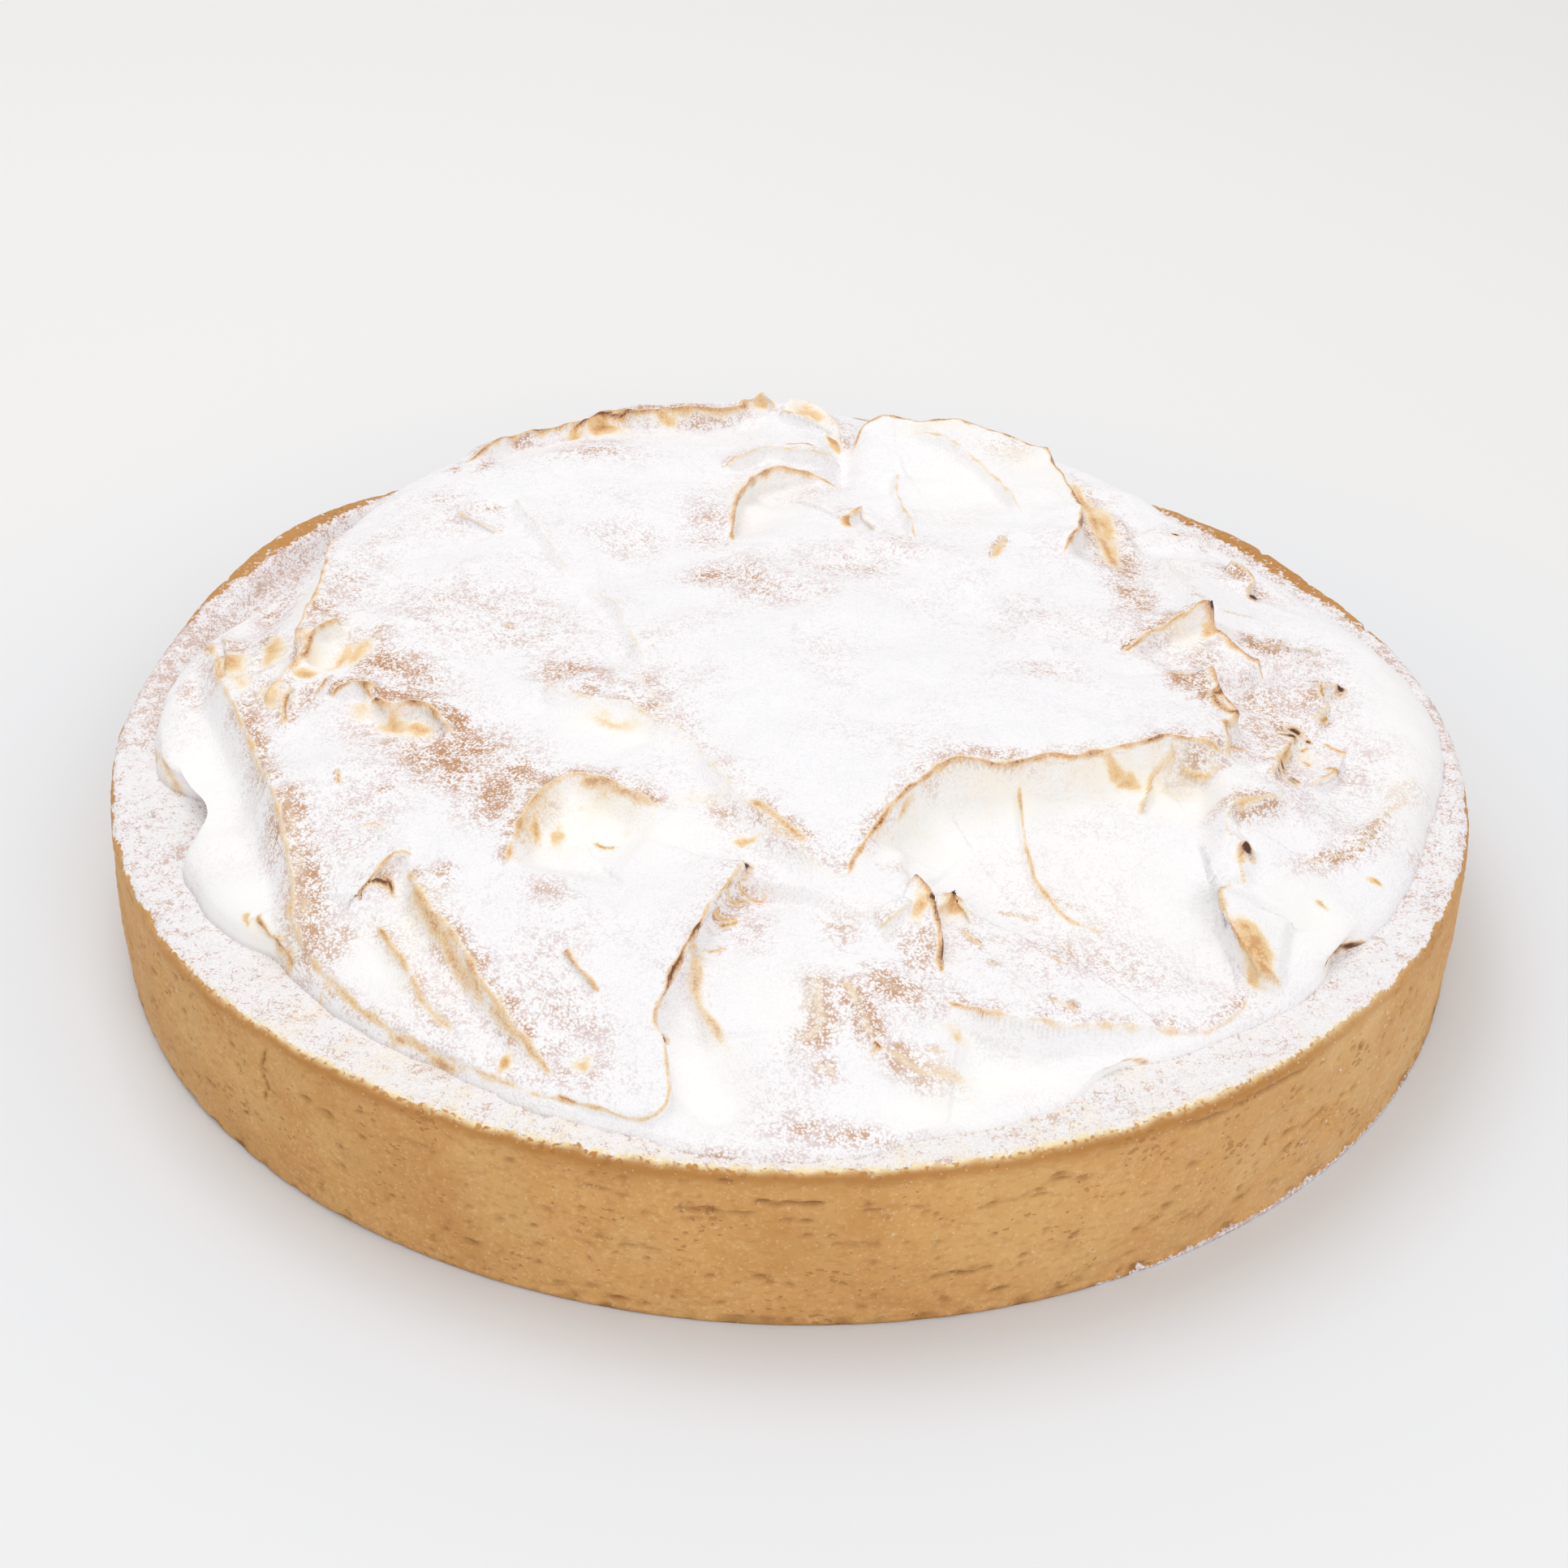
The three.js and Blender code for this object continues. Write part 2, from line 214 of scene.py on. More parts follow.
def raise_to(kept, where, values):
    """Raises an array in some places to new values that are higher."""
    kept[where] = np.maximum(kept[where], values)


def wall_inset(angle, height):
    """How far the wall stands in from the ring: it shrank unevenly as it baked."""
    share = height / CASE_HEIGHT
    shrunk = np.sin(2 * angle) ** 2 * (1 - swells(angle, [(-135, 26, 2.4), (145, 26, 1.8)]))
    waves = 0.5 + 0.25 * np.sin(7 * angle + 0.8 + 2 * share) + 0.25 * np.sin(11 * angle - 3 * share)
    return shrunk * 0.9 * waves + 0.5 * (1 - np.sin(np.pi * share))


def rounding(rows):
    """A rounded corner of radius 1, row by row: how far it still is from either of its sides."""
    bends = [math.radians(90 * row / rows) for row in range(1, rows + 1)]
    return [(1 - math.sin(bend), 1 - math.cos(bend)) for bend in bends]


def add_mesh(name, points_mm, faces, material):
    """Makes an object from points in millimetres and quads or triangles, with smooth shading."""
    mesh = bpy.data.meshes.new(name)
    faces = [np.asarray(part, dtype=np.int32) for part in faces]
    loops = np.concatenate([part.ravel() for part in faces])
    sides = np.concatenate([np.full(len(part), part.shape[1]) for part in faces])
    mesh.vertices.add(len(points_mm))
    mesh.vertices.foreach_set("co", (np.asarray(points_mm) / 1000).astype(np.float32).ravel())
    mesh.loops.add(len(loops))
    mesh.loops.foreach_set("vertex_index", loops.astype(np.int32))
    mesh.polygons.add(len(sides))
    mesh.polygons.foreach_set("loop_start", (np.cumsum(sides) - sides).astype(np.int32))
    mesh.polygons.foreach_set("use_smooth", np.ones(len(sides), dtype=bool))
    mesh.update(calc_edges=True)
    mesh.validate()
    mesh.materials.append(material)
    piece = bpy.data.objects.new(name, mesh)
    bpy.context.scene.collection.objects.link(piece)
    return piece


def add_values(piece, name, values):
    """Keeps one number for each point of a mesh, for its material to read."""
    layer = piece.data.attributes.new(name, "FLOAT", "POINT")
    layer.data.foreach_set("value", np.asarray(values, dtype=np.float32).ravel())


# the profile, from the middle of the base round to the middle of the top
case_profile = [(0.0, 0.0), (90.0, 0.0), (106.0, 0.0), (RING_RADIUS - FOOT_ROUND, 0.0)]
case_profile += [(RING_RADIUS - FOOT_ROUND * s, FOOT_ROUND * c) for s, c in rounding(FOOT_ROWS)]
wall_heights = np.linspace(FOOT_ROUND, CASE_HEIGHT - EDGE_ROUND, WALL_ROWS + 1)[1:]
case_profile += [(RING_RADIUS, up) for up in wall_heights]
case_profile += [(RING_RADIUS - EDGE_ROUND * c, CASE_HEIGHT - EDGE_ROUND * s) for s, c in rounding(EDGE_ROWS)]
rim_radii = np.linspace(RING_RADIUS - EDGE_ROUND, RIM_INNER, RIM_ROWS + 1)[1:]
case_profile += [(radius, CASE_HEIGHT) for radius in rim_radii]
case_profile += [(60.0, CASE_HEIGHT), (0.0, CASE_HEIGHT)]
profile_r, profile_z = np.array(case_profile).T
out_r, out_z = np.gradient(profile_z), -np.gradient(profile_r)
out_length = np.hypot(out_r, out_z)
rings = np.stack([profile_r, profile_z, out_r / out_length, out_z / out_length])[:, 1:-1]

ring_angle = np.arange(CASE_SEGMENTS) / CASE_SEGMENTS * 2 * np.pi
r, z, push_r, push_z = np.repeat(rings[:, :, None], CASE_SEGMENTS, axis=2)
angle = np.repeat(ring_angle[None], rings.shape[1], axis=0)
arc = angle * RING_RADIUS
girth = 2 * np.pi * RING_RADIUS
on_wall = ease(r, RING_RADIUS - 3.5, RING_RADIUS - 1.2)
on_base = ease(z, 0.0, 1.2)

# unevenness of the dough, from broad waves down to its grain: size, height, flatness, seed
dough = np.zeros_like(r)
for size, tall, flat, seed in (
    (23.0, 0.28, 1.0, 1),
    (9.0, 0.14, 0.6, 2),
    (6.0, 0.12, 0.22, 3),
    (2.6, 0.10, 0.8, 4),
    (1.3, 0.07, 0.9, 5),
):
    waves = round(girth / size)
    dough += tall * rough(arc / girth * waves, (z + (RING_RADIUS - r)) / (size * flat), seed, waves)
bumps_on_rim = 0.25 * rough(arc / 3.1, (RING_RADIUS - r) / 2.2, 6)

# flat pores all over the wall
PORES = 950
PORE_LOWEST, PORE_BAND = 0.6, 25.5
PORE_HALF_LENGTHS, PORE_SHARES = [0.35, 0.55, 0.8, 1.25], [0.42, 0.33, 0.18, 0.07]
column_width = girth / CASE_SEGMENTS
chance = np.random.default_rng(7)
pores = np.zeros_like(r)
for _ in range(PORES):
    centre_arc = chance.uniform(0, girth)
    centre_z = PORE_LOWEST + PORE_BAND * chance.beta(1.25, 1.35)
    half_long = chance.choice(PORE_HALF_LENGTHS, p=PORE_SHARES) * chance.uniform(0.8, 1.2)
    half_tall = min(half_long, chance.uniform(0.26, 0.48))
    depth = chance.uniform(0.2, 0.55) * (0.6 + 0.5 * half_long)
    slant = chance.normal(0, 0.12)
    first = int(centre_arc / column_width)
    columns = np.arange(first - 5, first + 6) % CASE_SEGMENTS
    rows = np.nonzero((np.abs(rings[1] - centre_z) < 1.6) & (rings[0] > RING_RADIUS - 1.0))[0]
    here = np.ix_(rows, columns)
    across = (arc[here] - centre_arc + girth / 2) % girth - girth / 2
    up = z[here] - centre_z - slant * across
    dent = np.exp(-((across / half_long) ** 2 + (up / half_tall) ** 2) ** 1.3)
    raise_to(pores, here, depth * dent)

# cracks, each a run of [azimuth, height] with a depth and half width
WALL_CRACKS = [
    ([(-130.8, 23.5), (-131.6, 20), (-131, 17), (-131.4, 15)], 0.6, 0.22),
    ([(-104, 21.6), (-102, 21.9), (-100.4, 21.5)], 0.4, 0.24),
    ([(-97, 20.2), (-95, 20.5), (-93, 20.1), (-91.6, 20.4)], 0.4, 0.24),
    ([(-84, 20.8), (-82, 21.2), (-79.6, 20.9)], 0.4, 0.24),
    ([(-76, 19.6), (-73.4, 20.1), (-71, 19.7)], 0.4, 0.24),
    ([(-91.5, 22.2), (-90, 22.0), (-88.4, 22.4), (-87, 22.1)], 0.55, 0.3),
    ([(-86, 15.4), (-84.5, 15.1), (-83, 15.3)], 0.4, 0.3),
    ([(-79, 8.2), (-77.5, 8.6), (-76, 8.3), (-74.8, 8.7)], 0.45, 0.32),
    ([(-101, 12.4), (-99.5, 12.7), (-98.2, 12.4)], 0.35, 0.28),
    ([(-60, 24.4), (-57, 24.1), (-54, 24.5), (-50, 24.2), (-47, 24.6)], 0.5, 0.35),
    ([(-47, 12.5), (-45.6, 12.9), (-44.2, 12.6)], 0.4, 0.3),
    ([(-118, 20.5), (-116.8, 20.8), (-115, 20.4)], 0.35, 0.28),
    ([(30, 14.5), (32, 14.2), (34, 14.6)], 0.45, 0.3),
    ([(75, 21.0), (77, 21.5), (79.5, 21.1)], 0.5, 0.32),
    ([(150, 9.5), (150.4, 12), (149.8, 15)], 0.45, 0.28),
    ([(108, 6.0), (110, 6.3), (112, 5.9)], 0.45, 0.3),
]
CRACK_REACH = 16
cracks = np.zeros_like(r)
for points, depth, half_width in WALL_CRACKS:
    crack = np.array([(math.radians(azimuth) * RING_RADIUS, up) for azimuth, up in points])
    middle = crack[:, 0].mean()
    across = (arc - middle + girth / 2) % girth - girth / 2 + middle
    near = (np.abs(across - middle) < CRACK_REACH) & (on_wall > 0)
    ragged_x = across[near] + 0.25 * rough(across[near] / 1.7, z[near] / 1.7, 31)
    ragged_z = z[near] + 0.3 * rough(across[near] / 2.3, z[near] / 2.3, 32)
    raise_to(cracks, near, depth * bell(nearest_on(crack, ragged_x, ragged_z)[0], half_width))

# the crumbly top edge: a thin flake that stands off the wall, chipped here and there
flake_line = CASE_HEIGHT - 2.0 + 0.8 * rough(arc / 7.0, 0, 41) + 0.3 * rough(arc / 2.1, 0, 42)
flaky = np.clip(0.25 + swells(angle, [(-62, 16, 0.8), (-95, 10, 0.3), (20, 25, 0.5), (100, 30, 0.5)]), 0, 1)
flake = flaky * 0.45 * ease(z, flake_line - 0.25, flake_line + 0.15) * on_wall
chips = np.clip(rough(arc / 4.3, z / 9 + r / 9, 43) - 0.35, 0, 1) * 1.4
chips *= ease(z, CASE_HEIGHT - 2.2, CASE_HEIGHT - 0.4) * ease(r, RING_RADIUS - 2.6, RING_RADIUS - 0.8)
foot_chips = np.clip(rough(arc / 3.6, z / 3, 44) - 0.05, 0, 1) * 2.2 * (1 - ease(z, 0.2, 1.8)) * on_wall

on_rim = ease(r, 101, 104)
lifts = ease(r, LIFT_START, LIFT_FULL)
relief_wall = dough - pores - cracks + flake - chips - foot_chips
relief_rim = 0.35 * dough + (0.7 * bumps_on_rim + 0.35 * rough(arc / 1.6, r / 1.4, 8)) * on_rim - chips
moved = (on_wall * relief_wall + (1 - on_wall) * relief_rim) * on_base
shown_r = r - lifts * wall_inset(angle, z) * on_base + push_r * moved
shown_r = np.minimum(shown_r, RING_RADIUS + 0.35 + swells(angle, [(-135, 20, 0.9), (145, 20, 0.9)]))
shown_z = z * (1 + lifts * swells(angle, RIM_LIFTS) / CASE_HEIGHT) + push_z * moved
case_points = np.stack([shown_r * np.cos(angle), shown_r * np.sin(angle), shown_z], axis=-1).reshape(-1, 3)
case_points = np.vstack([case_points, [(0, 0, 0), (0, 0, CASE_HEIGHT)]])

index = np.arange(r.size).reshape(r.shape)
following = np.roll(index, -1, axis=1)
case_quads = np.stack([index[:-1], following[:-1], following[1:], index[1:]], axis=-1).reshape(-1, 4)
base_fan = np.stack([np.full(CASE_SEGMENTS, len(case_points) - 2), following[0], index[0]], axis=-1)
top_fan = np.stack([np.full(CASE_SEGMENTS, len(case_points) - 1), index[-1], following[-1]], axis=-1)


def maths(operation, a, b, clamp=False):
    """One step of arithmetic on numbers or nodes' outputs."""
    node = add_node(tree_of(a, b), "ShaderNodeMath", {0: a, 1: b}, operation=operation, use_clamp=clamp)
    return node.outputs[0]


def times(a, b):
    return maths("MULTIPLY", a, b)


def plus(a, b):
    return maths("ADD", a, b)


def minus(a, b):
    return maths("SUBTRACT", a, b)


def between(value, low, high):
    """0 below the low value, 1 above the high value, smooth between."""
    inputs = {"Value": value, "From Min": low, "From Max": high}
    node = add_node(tree_of(value), "ShaderNodeMapRange", inputs, interpolation_type="SMOOTHSTEP")
    return node.outputs[0]


def object_place(tree):
    """The place on the object, in metres."""
    return add_node(tree, "ShaderNodeTexCoord").outputs["Object"]


def stretched(place, stretch):
    """The place with each axis drawn out, so that a pattern on it comes out narrower there."""
    return add_node(tree_of(place), "ShaderNodeMapping", {"Vector": place, "Scale": stretch}).outputs[0]


def grain(place, scale, detail=2.0):
    """Random swells through space; scale is swells to a metre."""
    inputs = {"Vector": place, "Scale": scale, "Detail": detail, "Roughness": 0.55}
    return add_node(tree_of(place), "ShaderNodeTexNoise", inputs).outputs[0]


def astray(place, scale, detail, distance):
    """The place, led astray by up to about half the distance; scale is swirls to a metre."""
    tree = tree_of(place)
    inputs = {"Vector": place, "Scale": scale, "Detail": detail}
    swirls = add_node(tree, "ShaderNodeTexNoise", inputs).outputs["Color"]
    shift = add_node(tree, "ShaderNodeVectorMath", {0: swirls, "Scale": distance}, operation="SCALE")
    sum_inputs = {0: place, 1: shift.outputs[0]}
    return add_node(tree, "ShaderNodeVectorMath", sum_inputs, operation="ADD").outputs[0]


def to_speck(place, scale):
    """The distance to the nearest of scattered specks; scale is specks to a metre."""
    inputs = {"Vector": place, "Scale": scale}
    return add_node(tree_of(place), "ShaderNodeTexVoronoi", inputs, feature="F1").outputs["Distance"]


def kept_value(tree, name):
    """A number that add_values kept on the mesh."""
    node = add_node(tree, "ShaderNodeAttribute", attribute_type="GEOMETRY", attribute_name=name)
    return node.outputs["Fac"]


def around_zero(value, weight):
    """A pattern between 0 and 1, centred on 0 and given a weight."""
    return times(minus(value, 0.5), weight)


# Icing sugar, sieved over the whole pie: it lies thick on level places and thins to specks where
# the toasted surface shows through. Bareness 0 is a full cover, and 1 is none.
sugar = bpy.data.node_groups.new("icing_sugar", "ShaderNodeTree")
sugar.interface.new_socket("Bareness", in_out="INPUT", socket_type="NodeSocketFloat")
for name in ("Cover", "Grain"):
    sugar.interface.new_socket(name, in_out="OUTPUT", socket_type="NodeSocketFloat")
bareness = add_node(sugar, "NodeGroupInput").outputs["Bareness"]
sugar_place = object_place(sugar)
clumps = to_speck(astray(sugar_place, 1700, 2.0, 0.0006), 2500)
medium = grain(sugar_place, 950)
broad = grain(sugar_place, 260)
pattern = plus(around_zero(clumps, 0.9), around_zero(medium, 1.0))
pattern = plus(plus(pattern, around_zero(broad, 0.7)), 0.5)
edge = minus(0.64, times(bareness, 0.48))
showing = between(pattern, edge, plus(edge, 0.46))
grains = minus(times(medium, 0.5), times(clumps, 0.6))
add_node(sugar, "NodeGroupOutput", {"Cover": minus(1.0, showing), "Grain": grains})


def new_paint(name):
    """A material with its shader, its node tree and the place on the object to go by."""
    paint = bpy.data.materials.new(name)
    paint.use_nodes = True
    return paint, paint.node_tree.nodes["Principled BSDF"], paint.node_tree, object_place(paint.node_tree)


def shortcrust():
    """Golden crumb, mottled, gritty and pitted, with the sugar that fell on its rim; painted shade darkens
    its pits, pores, cracks and foot, and a painted highlight brightens the pale crumbs of its front edge.
    """
    paint, shader, tree, place = new_paint("shortcrust")
    patchy = between(grain(place, 42, 3.0), 0.38, 0.64)
    mottled = between(grain(place, 260, 3.0), 0.36, 0.66)
    gritty = grain(place, 1300)
    crumb = mixed(patchy, (0.65, 0.352, 0.122, 1), (0.59, 0.294, 0.094, 1))
    crumb = mixed(times(mottled, 0.45), crumb, (0.71, 0.40, 0.152, 1))
    crumb = mixed(times(between(gritty, 0.5, 0.7), 0.35), crumb, (0.80, 0.53, 0.26, 1))
    pale_patch = between(grain(place, 55, 1.0), 0.52, 0.64)
    crumb = mixed(times(pale_patch, 0.3), crumb, (0.70, 0.45, 0.18, 1))
    sandy = between(grain(stretched(place, (1, 1, 1.8)), 620, 3.0), 0.5, 0.66)
    crumb = mixed(times(sandy, 0.4), crumb, (0.50, 0.235, 0.07, 1))
    crumb = mixed(kept_value(tree, "floury"), crumb, (0.79, 0.56, 0.31, 1))
    crumb = mixed(kept_value(tree, "browned"), crumb, (0.47, 0.215, 0.058, 1))
    # painted shade in the pores, cracks and chips of the wall and along its foot
    crumb = mixed(kept_value(tree, "painted_shade"), crumb, (0.33, 0.15, 0.045, 1))
    # the pits, bumped in and painted darker with the shade that falls in them
    pit_middle = to_speck(stretched(astray(place, 900, 1.0, 0.0011), (1, 1, 2.1)), 560)
    pit_size = times(minus(grain(place, 160, 1.0), 0.42), 1.15)
    pits = minus(1.0, between(pit_middle, minus(pit_size, 0.07), pit_size))
    crumb = mixed(times(pits, 0.6), crumb, (0.40, 0.18, 0.055, 1))
    pale_fleck = minus(1.0, between(to_speck(place, 830), 0.10, 0.17))
    crumb = mixed(times(pale_fleck, 0.4), crumb, (0.84, 0.60, 0.35, 1))
    # the sugar, whose outer edge is broken up by the grit of the crumb
    dust = add_node(tree, "ShaderNodeGroup", {"Bareness": kept_value(tree, "bareness")}, node_tree=sugar)
    sugared = between(plus(kept_value(tree, "dusted"), around_zero(gritty, 1.6)), 0.35, 0.65)
    film = mixed(times(sugared, 0.78), crumb, (0.71, 0.56, 0.535, 1))
    sugary = mixed(times(dust.outputs["Cover"], sugared), film, (0.915, 0.89, 0.90, 1))
    # the pale crumbs of the fringe, with a painted highlight of the rounded edge on them
    crumbs_and_highlight = times(kept_value(tree, "fringe"), between(grain(place, 1100, 1.0), 0.36, 0.5))
    colour = mixed(crumbs_and_highlight, sugary, (0.95, 0.80, 0.49, 1))
    surface = plus(gritty, times(times(dust.outputs["Grain"], sugared), 1.6))
    height = minus(surface, times(pits, 1.2))
    bump = add_node(tree, "ShaderNodeBump", {"Strength": 0.6, "Distance": 0.0003, "Height": height})
    fill(shader, {"Base Color": colour, "Normal": bump.outputs[0]})
    fill(shader, {"Roughness": 0.8, "Specular IOR Level": 0.25})
    return paint


pastry_case = add_mesh("shortcrust_case", case_points, [case_quads, base_fan, top_fan], shortcrust())

# where the oven browned it, and where flour stayed on it
lifted = np.clip(swells(angle, [(147, 16, 1.0), (38, 16, 1.0)]), 0, 1)
edge_gold = ease(z, CASE_HEIGHT - 4.0, CASE_HEIGHT - 0.4) * 0.35
browned = np.clip(edge_gold + 0.35 * rough(arc / 30, z / 14, 51), 0, 1) * on_base
browned = np.clip(browned + 0.35 * lifted * on_rim, 0, 1)
floury = swells(angle, [(-38, 24, 0.3), (-160, 22, 0.24)]) * on_base
floury *= np.clip(0.8 + 0.8 * rough(arc / 9, z / 5, 61), 0, 1.4)
# painted shade: the pores, cracks and chips darken where shade falls in them, and a dark line runs where the
# foot meets the table
painted_foot_shade = bell(z, 0.5) * np.clip(0.7 + 0.5 * rough(arc / 5, 0, 59), 0, 1)
painted_shade = np.clip((pores + cracks) * 1.6 + foot_chips * 0.5 + painted_foot_shade, 0, 1) * on_wall

# how far the sugar reaches down the wall, with a line of it that fell at the foot on the right
from_top = np.maximum(r - (RING_RADIUS - EDGE_ROUND), 0) + np.maximum(CASE_HEIGHT - z, 0)
reach_out = np.clip(swells(angle, [(180, 26, 1.0), (-152, 14, 0.5), (4, 38, 1.0)]), 0, 1)
reach = 0.9 + 1.4 * reach_out + (0.4 + 0.6 * reach_out) * rough(arc / 6, 0, 52)
reach += 0.3 * rough(arc / 1.9, from_top / 2, 54)
dusted = 1 - ease(from_top, reach - 0.7, reach + 0.7)
fallen = np.clip(swells(angle, [(-46, 17, 1.6)]) + 0.3 * rough(arc / 3, 0, 58), 0, 1)
faint = 0.1 * swells(angle, [(-38, 22, 1.0)])
dusted = np.maximum(dusted, np.maximum(fallen * (1 - ease(z, 0.3, 1.0)), faint))

# two strips of bare rim at the back, with specks of sugar on them
bare_width = swells(angle, [(148, 14, 5.0), (37, 17, 4.4)]) + 0.9 * rough(arc / 4.2, r / 1.6, 56)
bare_rim = ease(r, RING_RADIUS - bare_width - 1.8, RING_RADIUS - bare_width + 1.8) * ease(lifted, 0.05, 0.3)
dusted *= 1 - bare_rim * (0.84 + 0.3 * rough(arc / 3, r / 1.4, 60))
THINNER_SUGAR = [
    (165, 20, 0.34),
    (9, 9, 0.3),
    (-46, 18, -0.3),
    (-78, 16, -0.14),
    (-110, 18, -0.2),
    (-134, 12, -0.12),
    (-168, 10, -0.2),
]
thinness = 0.36 + 0.3 * rough(arc / 12, r / 9, 53) + 0.45 * rough(arc / 2.4, r / 2.0, 57)
thinness = np.where(z < 5, 0.9, np.clip(thinness + swells(angle, THINNER_SUGAR), 0, 1))

# a fringe of pale crumbs under the sugar at the front, painted bright as the highlight on the rounded edge,
# and a browner line below it
front = np.clip(swells(angle, [(-85, 55, 1.2), (-140, 15, 0.6)]), 0, 1) * np.clip(1 - 1.4 * reach_out, 0, 1)
crumbly = np.clip(0.85 + 0.8 * rough(arc / 3.4, 0, 55), 0, 1) * front
fringe = crumbly * bell(from_top - reach, 0.7)
browned = np.clip(browned + 0.7 * front * bell(from_top - reach - 1.6, 1.0) * (from_top > 0), 0, 1)
case_values = {
    "browned": browned,
    "floury": floury,
    "painted_shade": painted_shade,
    "dusted": dusted,
    "bareness": thinness,
    "fringe": fringe,
}
for name, values in case_values.items():
    add_values(pastry_case, name, np.append(values.ravel(), [0, 0]))
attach(pastry_case, "root")
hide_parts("pastry_case")

# ------------------------------------------------------------------------------------------
# Meringue: stiff whipped egg white and sugar, heaped on the filled case and pulled about with a
# palette knife, so that it has lips, hollows and torn points. A flame has toasted its crests.
# ------------------------------------------------------------------------------------------
MERINGUE_GRID = 520
MERINGUE_DEPTH = 15.0
MERINGUE_RADIUS = 102.5
EDGE_THICKNESS = 1.4
FRONT_THINNING = 1.1
MERINGUE_FOOT = CASE_HEIGHT - 0.3
LOWEST_COVER = 0.6
# how far the edge of the spread stands out or in: azimuth, spread, distance
EDGE_SWELLS = [
    (-91, 17, 4.8),
    (2, 17, 5.0),
    (178, 9, 1.8),
    (157, 15, -5.8),
    (-160, 4.6, -5.6),
    (-132, 9, -2.0),
    (-58, 12, -3.0),
    (36, 19, -5.0),
    (100, 22, -1.5),
]
# broad mounds and hollows: centre, half widths along and across, turn in degrees, height
MOUNDS = [
    (12, -8, 44, 30, -10, 2.6),
    (-35, 62, 30, 18, 10, 1.6),
    (40, -60, 22, 16, 12, -4.2),
    (-25, -56, 12, 9, 0, -2.6),
    (26, 54, 15, 18, 15, -3.0),
    (-91, 30, 7, 30, -6, -4.5),
    (-90, -30, 9, 30, 25, -3.6),
    (82, 2, 10, 42, 4, -4.4),
    (-9, -97, 5, 7, 20, -3.5),
    (20, -98, 9, 4, 5, -2.0),
    (8, 72, 3, 12, 0, -3.2),
    (-52, -36, 22, 8, -35, -1.4),
    (-24, 30, 9, 30, -35, -1.8),
    (22, 6, 8, 26, -50, -1.6),
    (-4, -14, 24, 8, 60, 1.2),
    (-56, 14, 8, 22, -20, 1.4),
    (60, 50, 12, 20, 30, -2.2),
    (-20, 88, 30, 7, 0, 1.6),
]
# Kinds of fold. step and wall are how far the crest and the face below it take to fall, and lean is
# how far the lip hangs over. line is how brown the lip is, over the half width wide; under is how golden
# the face below it is, a glow of the toasting deepened by painted shade under the lip, and over how
# toasted the top above it is, over their widths. fade is the share of the length in which each end
# dies out. A fold may also have char, how burnt its lip is.
LOOKS = {
    "lip": {"step": 1.2, "wall": 3.6, "lean": 1.0, "line": 0.9, "wide": 0.36, "under": 0.16,
            "under_width": 3.0, "over": 0.12, "over_width": 2.0, "fade": (0.2, 0.06)},
    "soft": {"step": 3.0, "wall": 3.4, "lean": 0.1, "line": 0.55, "wide": 0.6, "under": 0.12,
             "under_width": 3.0, "over": 0.35, "over_width": 3.6, "fade": (0.16, 0.14)},
    "torn": {"step": 1.5, "wall": 2.2, "lean": 0.5, "line": 0.75, "wide": 0.4, "under": 0.25,
             "under_width": 2.0, "over": 0.35, "over_width": 2.2, "fade": (0.12, 0.1)},
    "seam": {"step": 1.6, "wall": 2.4, "lean": 0.05, "line": 0.22, "wide": 0.34, "under": 0.03,
             "under_width": 2.0, "over": 0.08, "over_width": 3.0, "fade": (0.1, 0.2)},
}
folds = []


def fold(kind, points, rise, drop, high_run, low_run, **changes):
    """A crest left by the knife; its low side is on the right of its run.

    rise and drop are the heights of the crest and of the fall beyond it, and the runs are how far
    each side takes to level out.
    """
    folds.append((points, rise, drop, high_run, low_run, {"char": 0, **LOOKS[kind], **changes}))


# the long lip over the front right hollow, with the torn face under it
fold("lip", [(8, -63), (10.4, -55.4), (14.7, -48.6), (19.6, -40.8), (23.5, -37.6), (31, -37.3), (38, -35),
     (46.8, -32.6), (53.7, -29.8), (58.5, -28), (67, -29)], 2.4, 4.6, 13, 20, step=2.4, wall=5.5, lean=0.6,
     line=0.95, wide=0.4, under=0.26, char=0.12, under_width=3.6, over=0.5, over_width=2.2,
     fade=(0.3, 0.05))
fold("seam", [(15, -52), (16, -49), (18.6, -43.6)], 0.5, 0.8, 3, 4, line=0.5)
fold("torn", [(52.3, -40), (53.6, -35.4), (55.4, -31.4), (58.6, -28.9)], 0.9, 0.6, 2.5, 2.5, line=0.55,
     wide=0.55, over=0)
fold("torn", [(56.5, -34), (57, -31.4), (58, -29.2)], 0.6, 0.5, 2, 2, line=0.45, wide=0.45, over=0)
fold("torn", [(59.4, -29.9), (61.7, -30.9), (64.2, -31.6)], 0.7, 0.6, 2, 2, line=0.7, wide=0.55, over=0)
fold("seam", [(45, -33.8), (49, -39), (52, -42)], 0.6, 0.5, 3, 3)
# the tongue of the middle, and the round hollow to the left of it
fold("soft", [(-26, -12), (-20, -24), (-12, -38), (-5, -49), (0.3, -56), (8, -63)], 0.9, 1.8, 12, 9,
     line=0.25, wide=1.0, fade=(0.6, 0.15))
fold("soft", [(-40, -63), (-38.9, -54), (-37.4, -47), (-34.5, -42), (-31.6, -40.6), (-28, -42),
     (-24, -44.8), (-18, -47)], 1.2, 2.8, 6, 12, lean=0.2, line=0.66, wide=0.5, under=0.34,
     under_width=3.4, over=0.85, over_width=3)
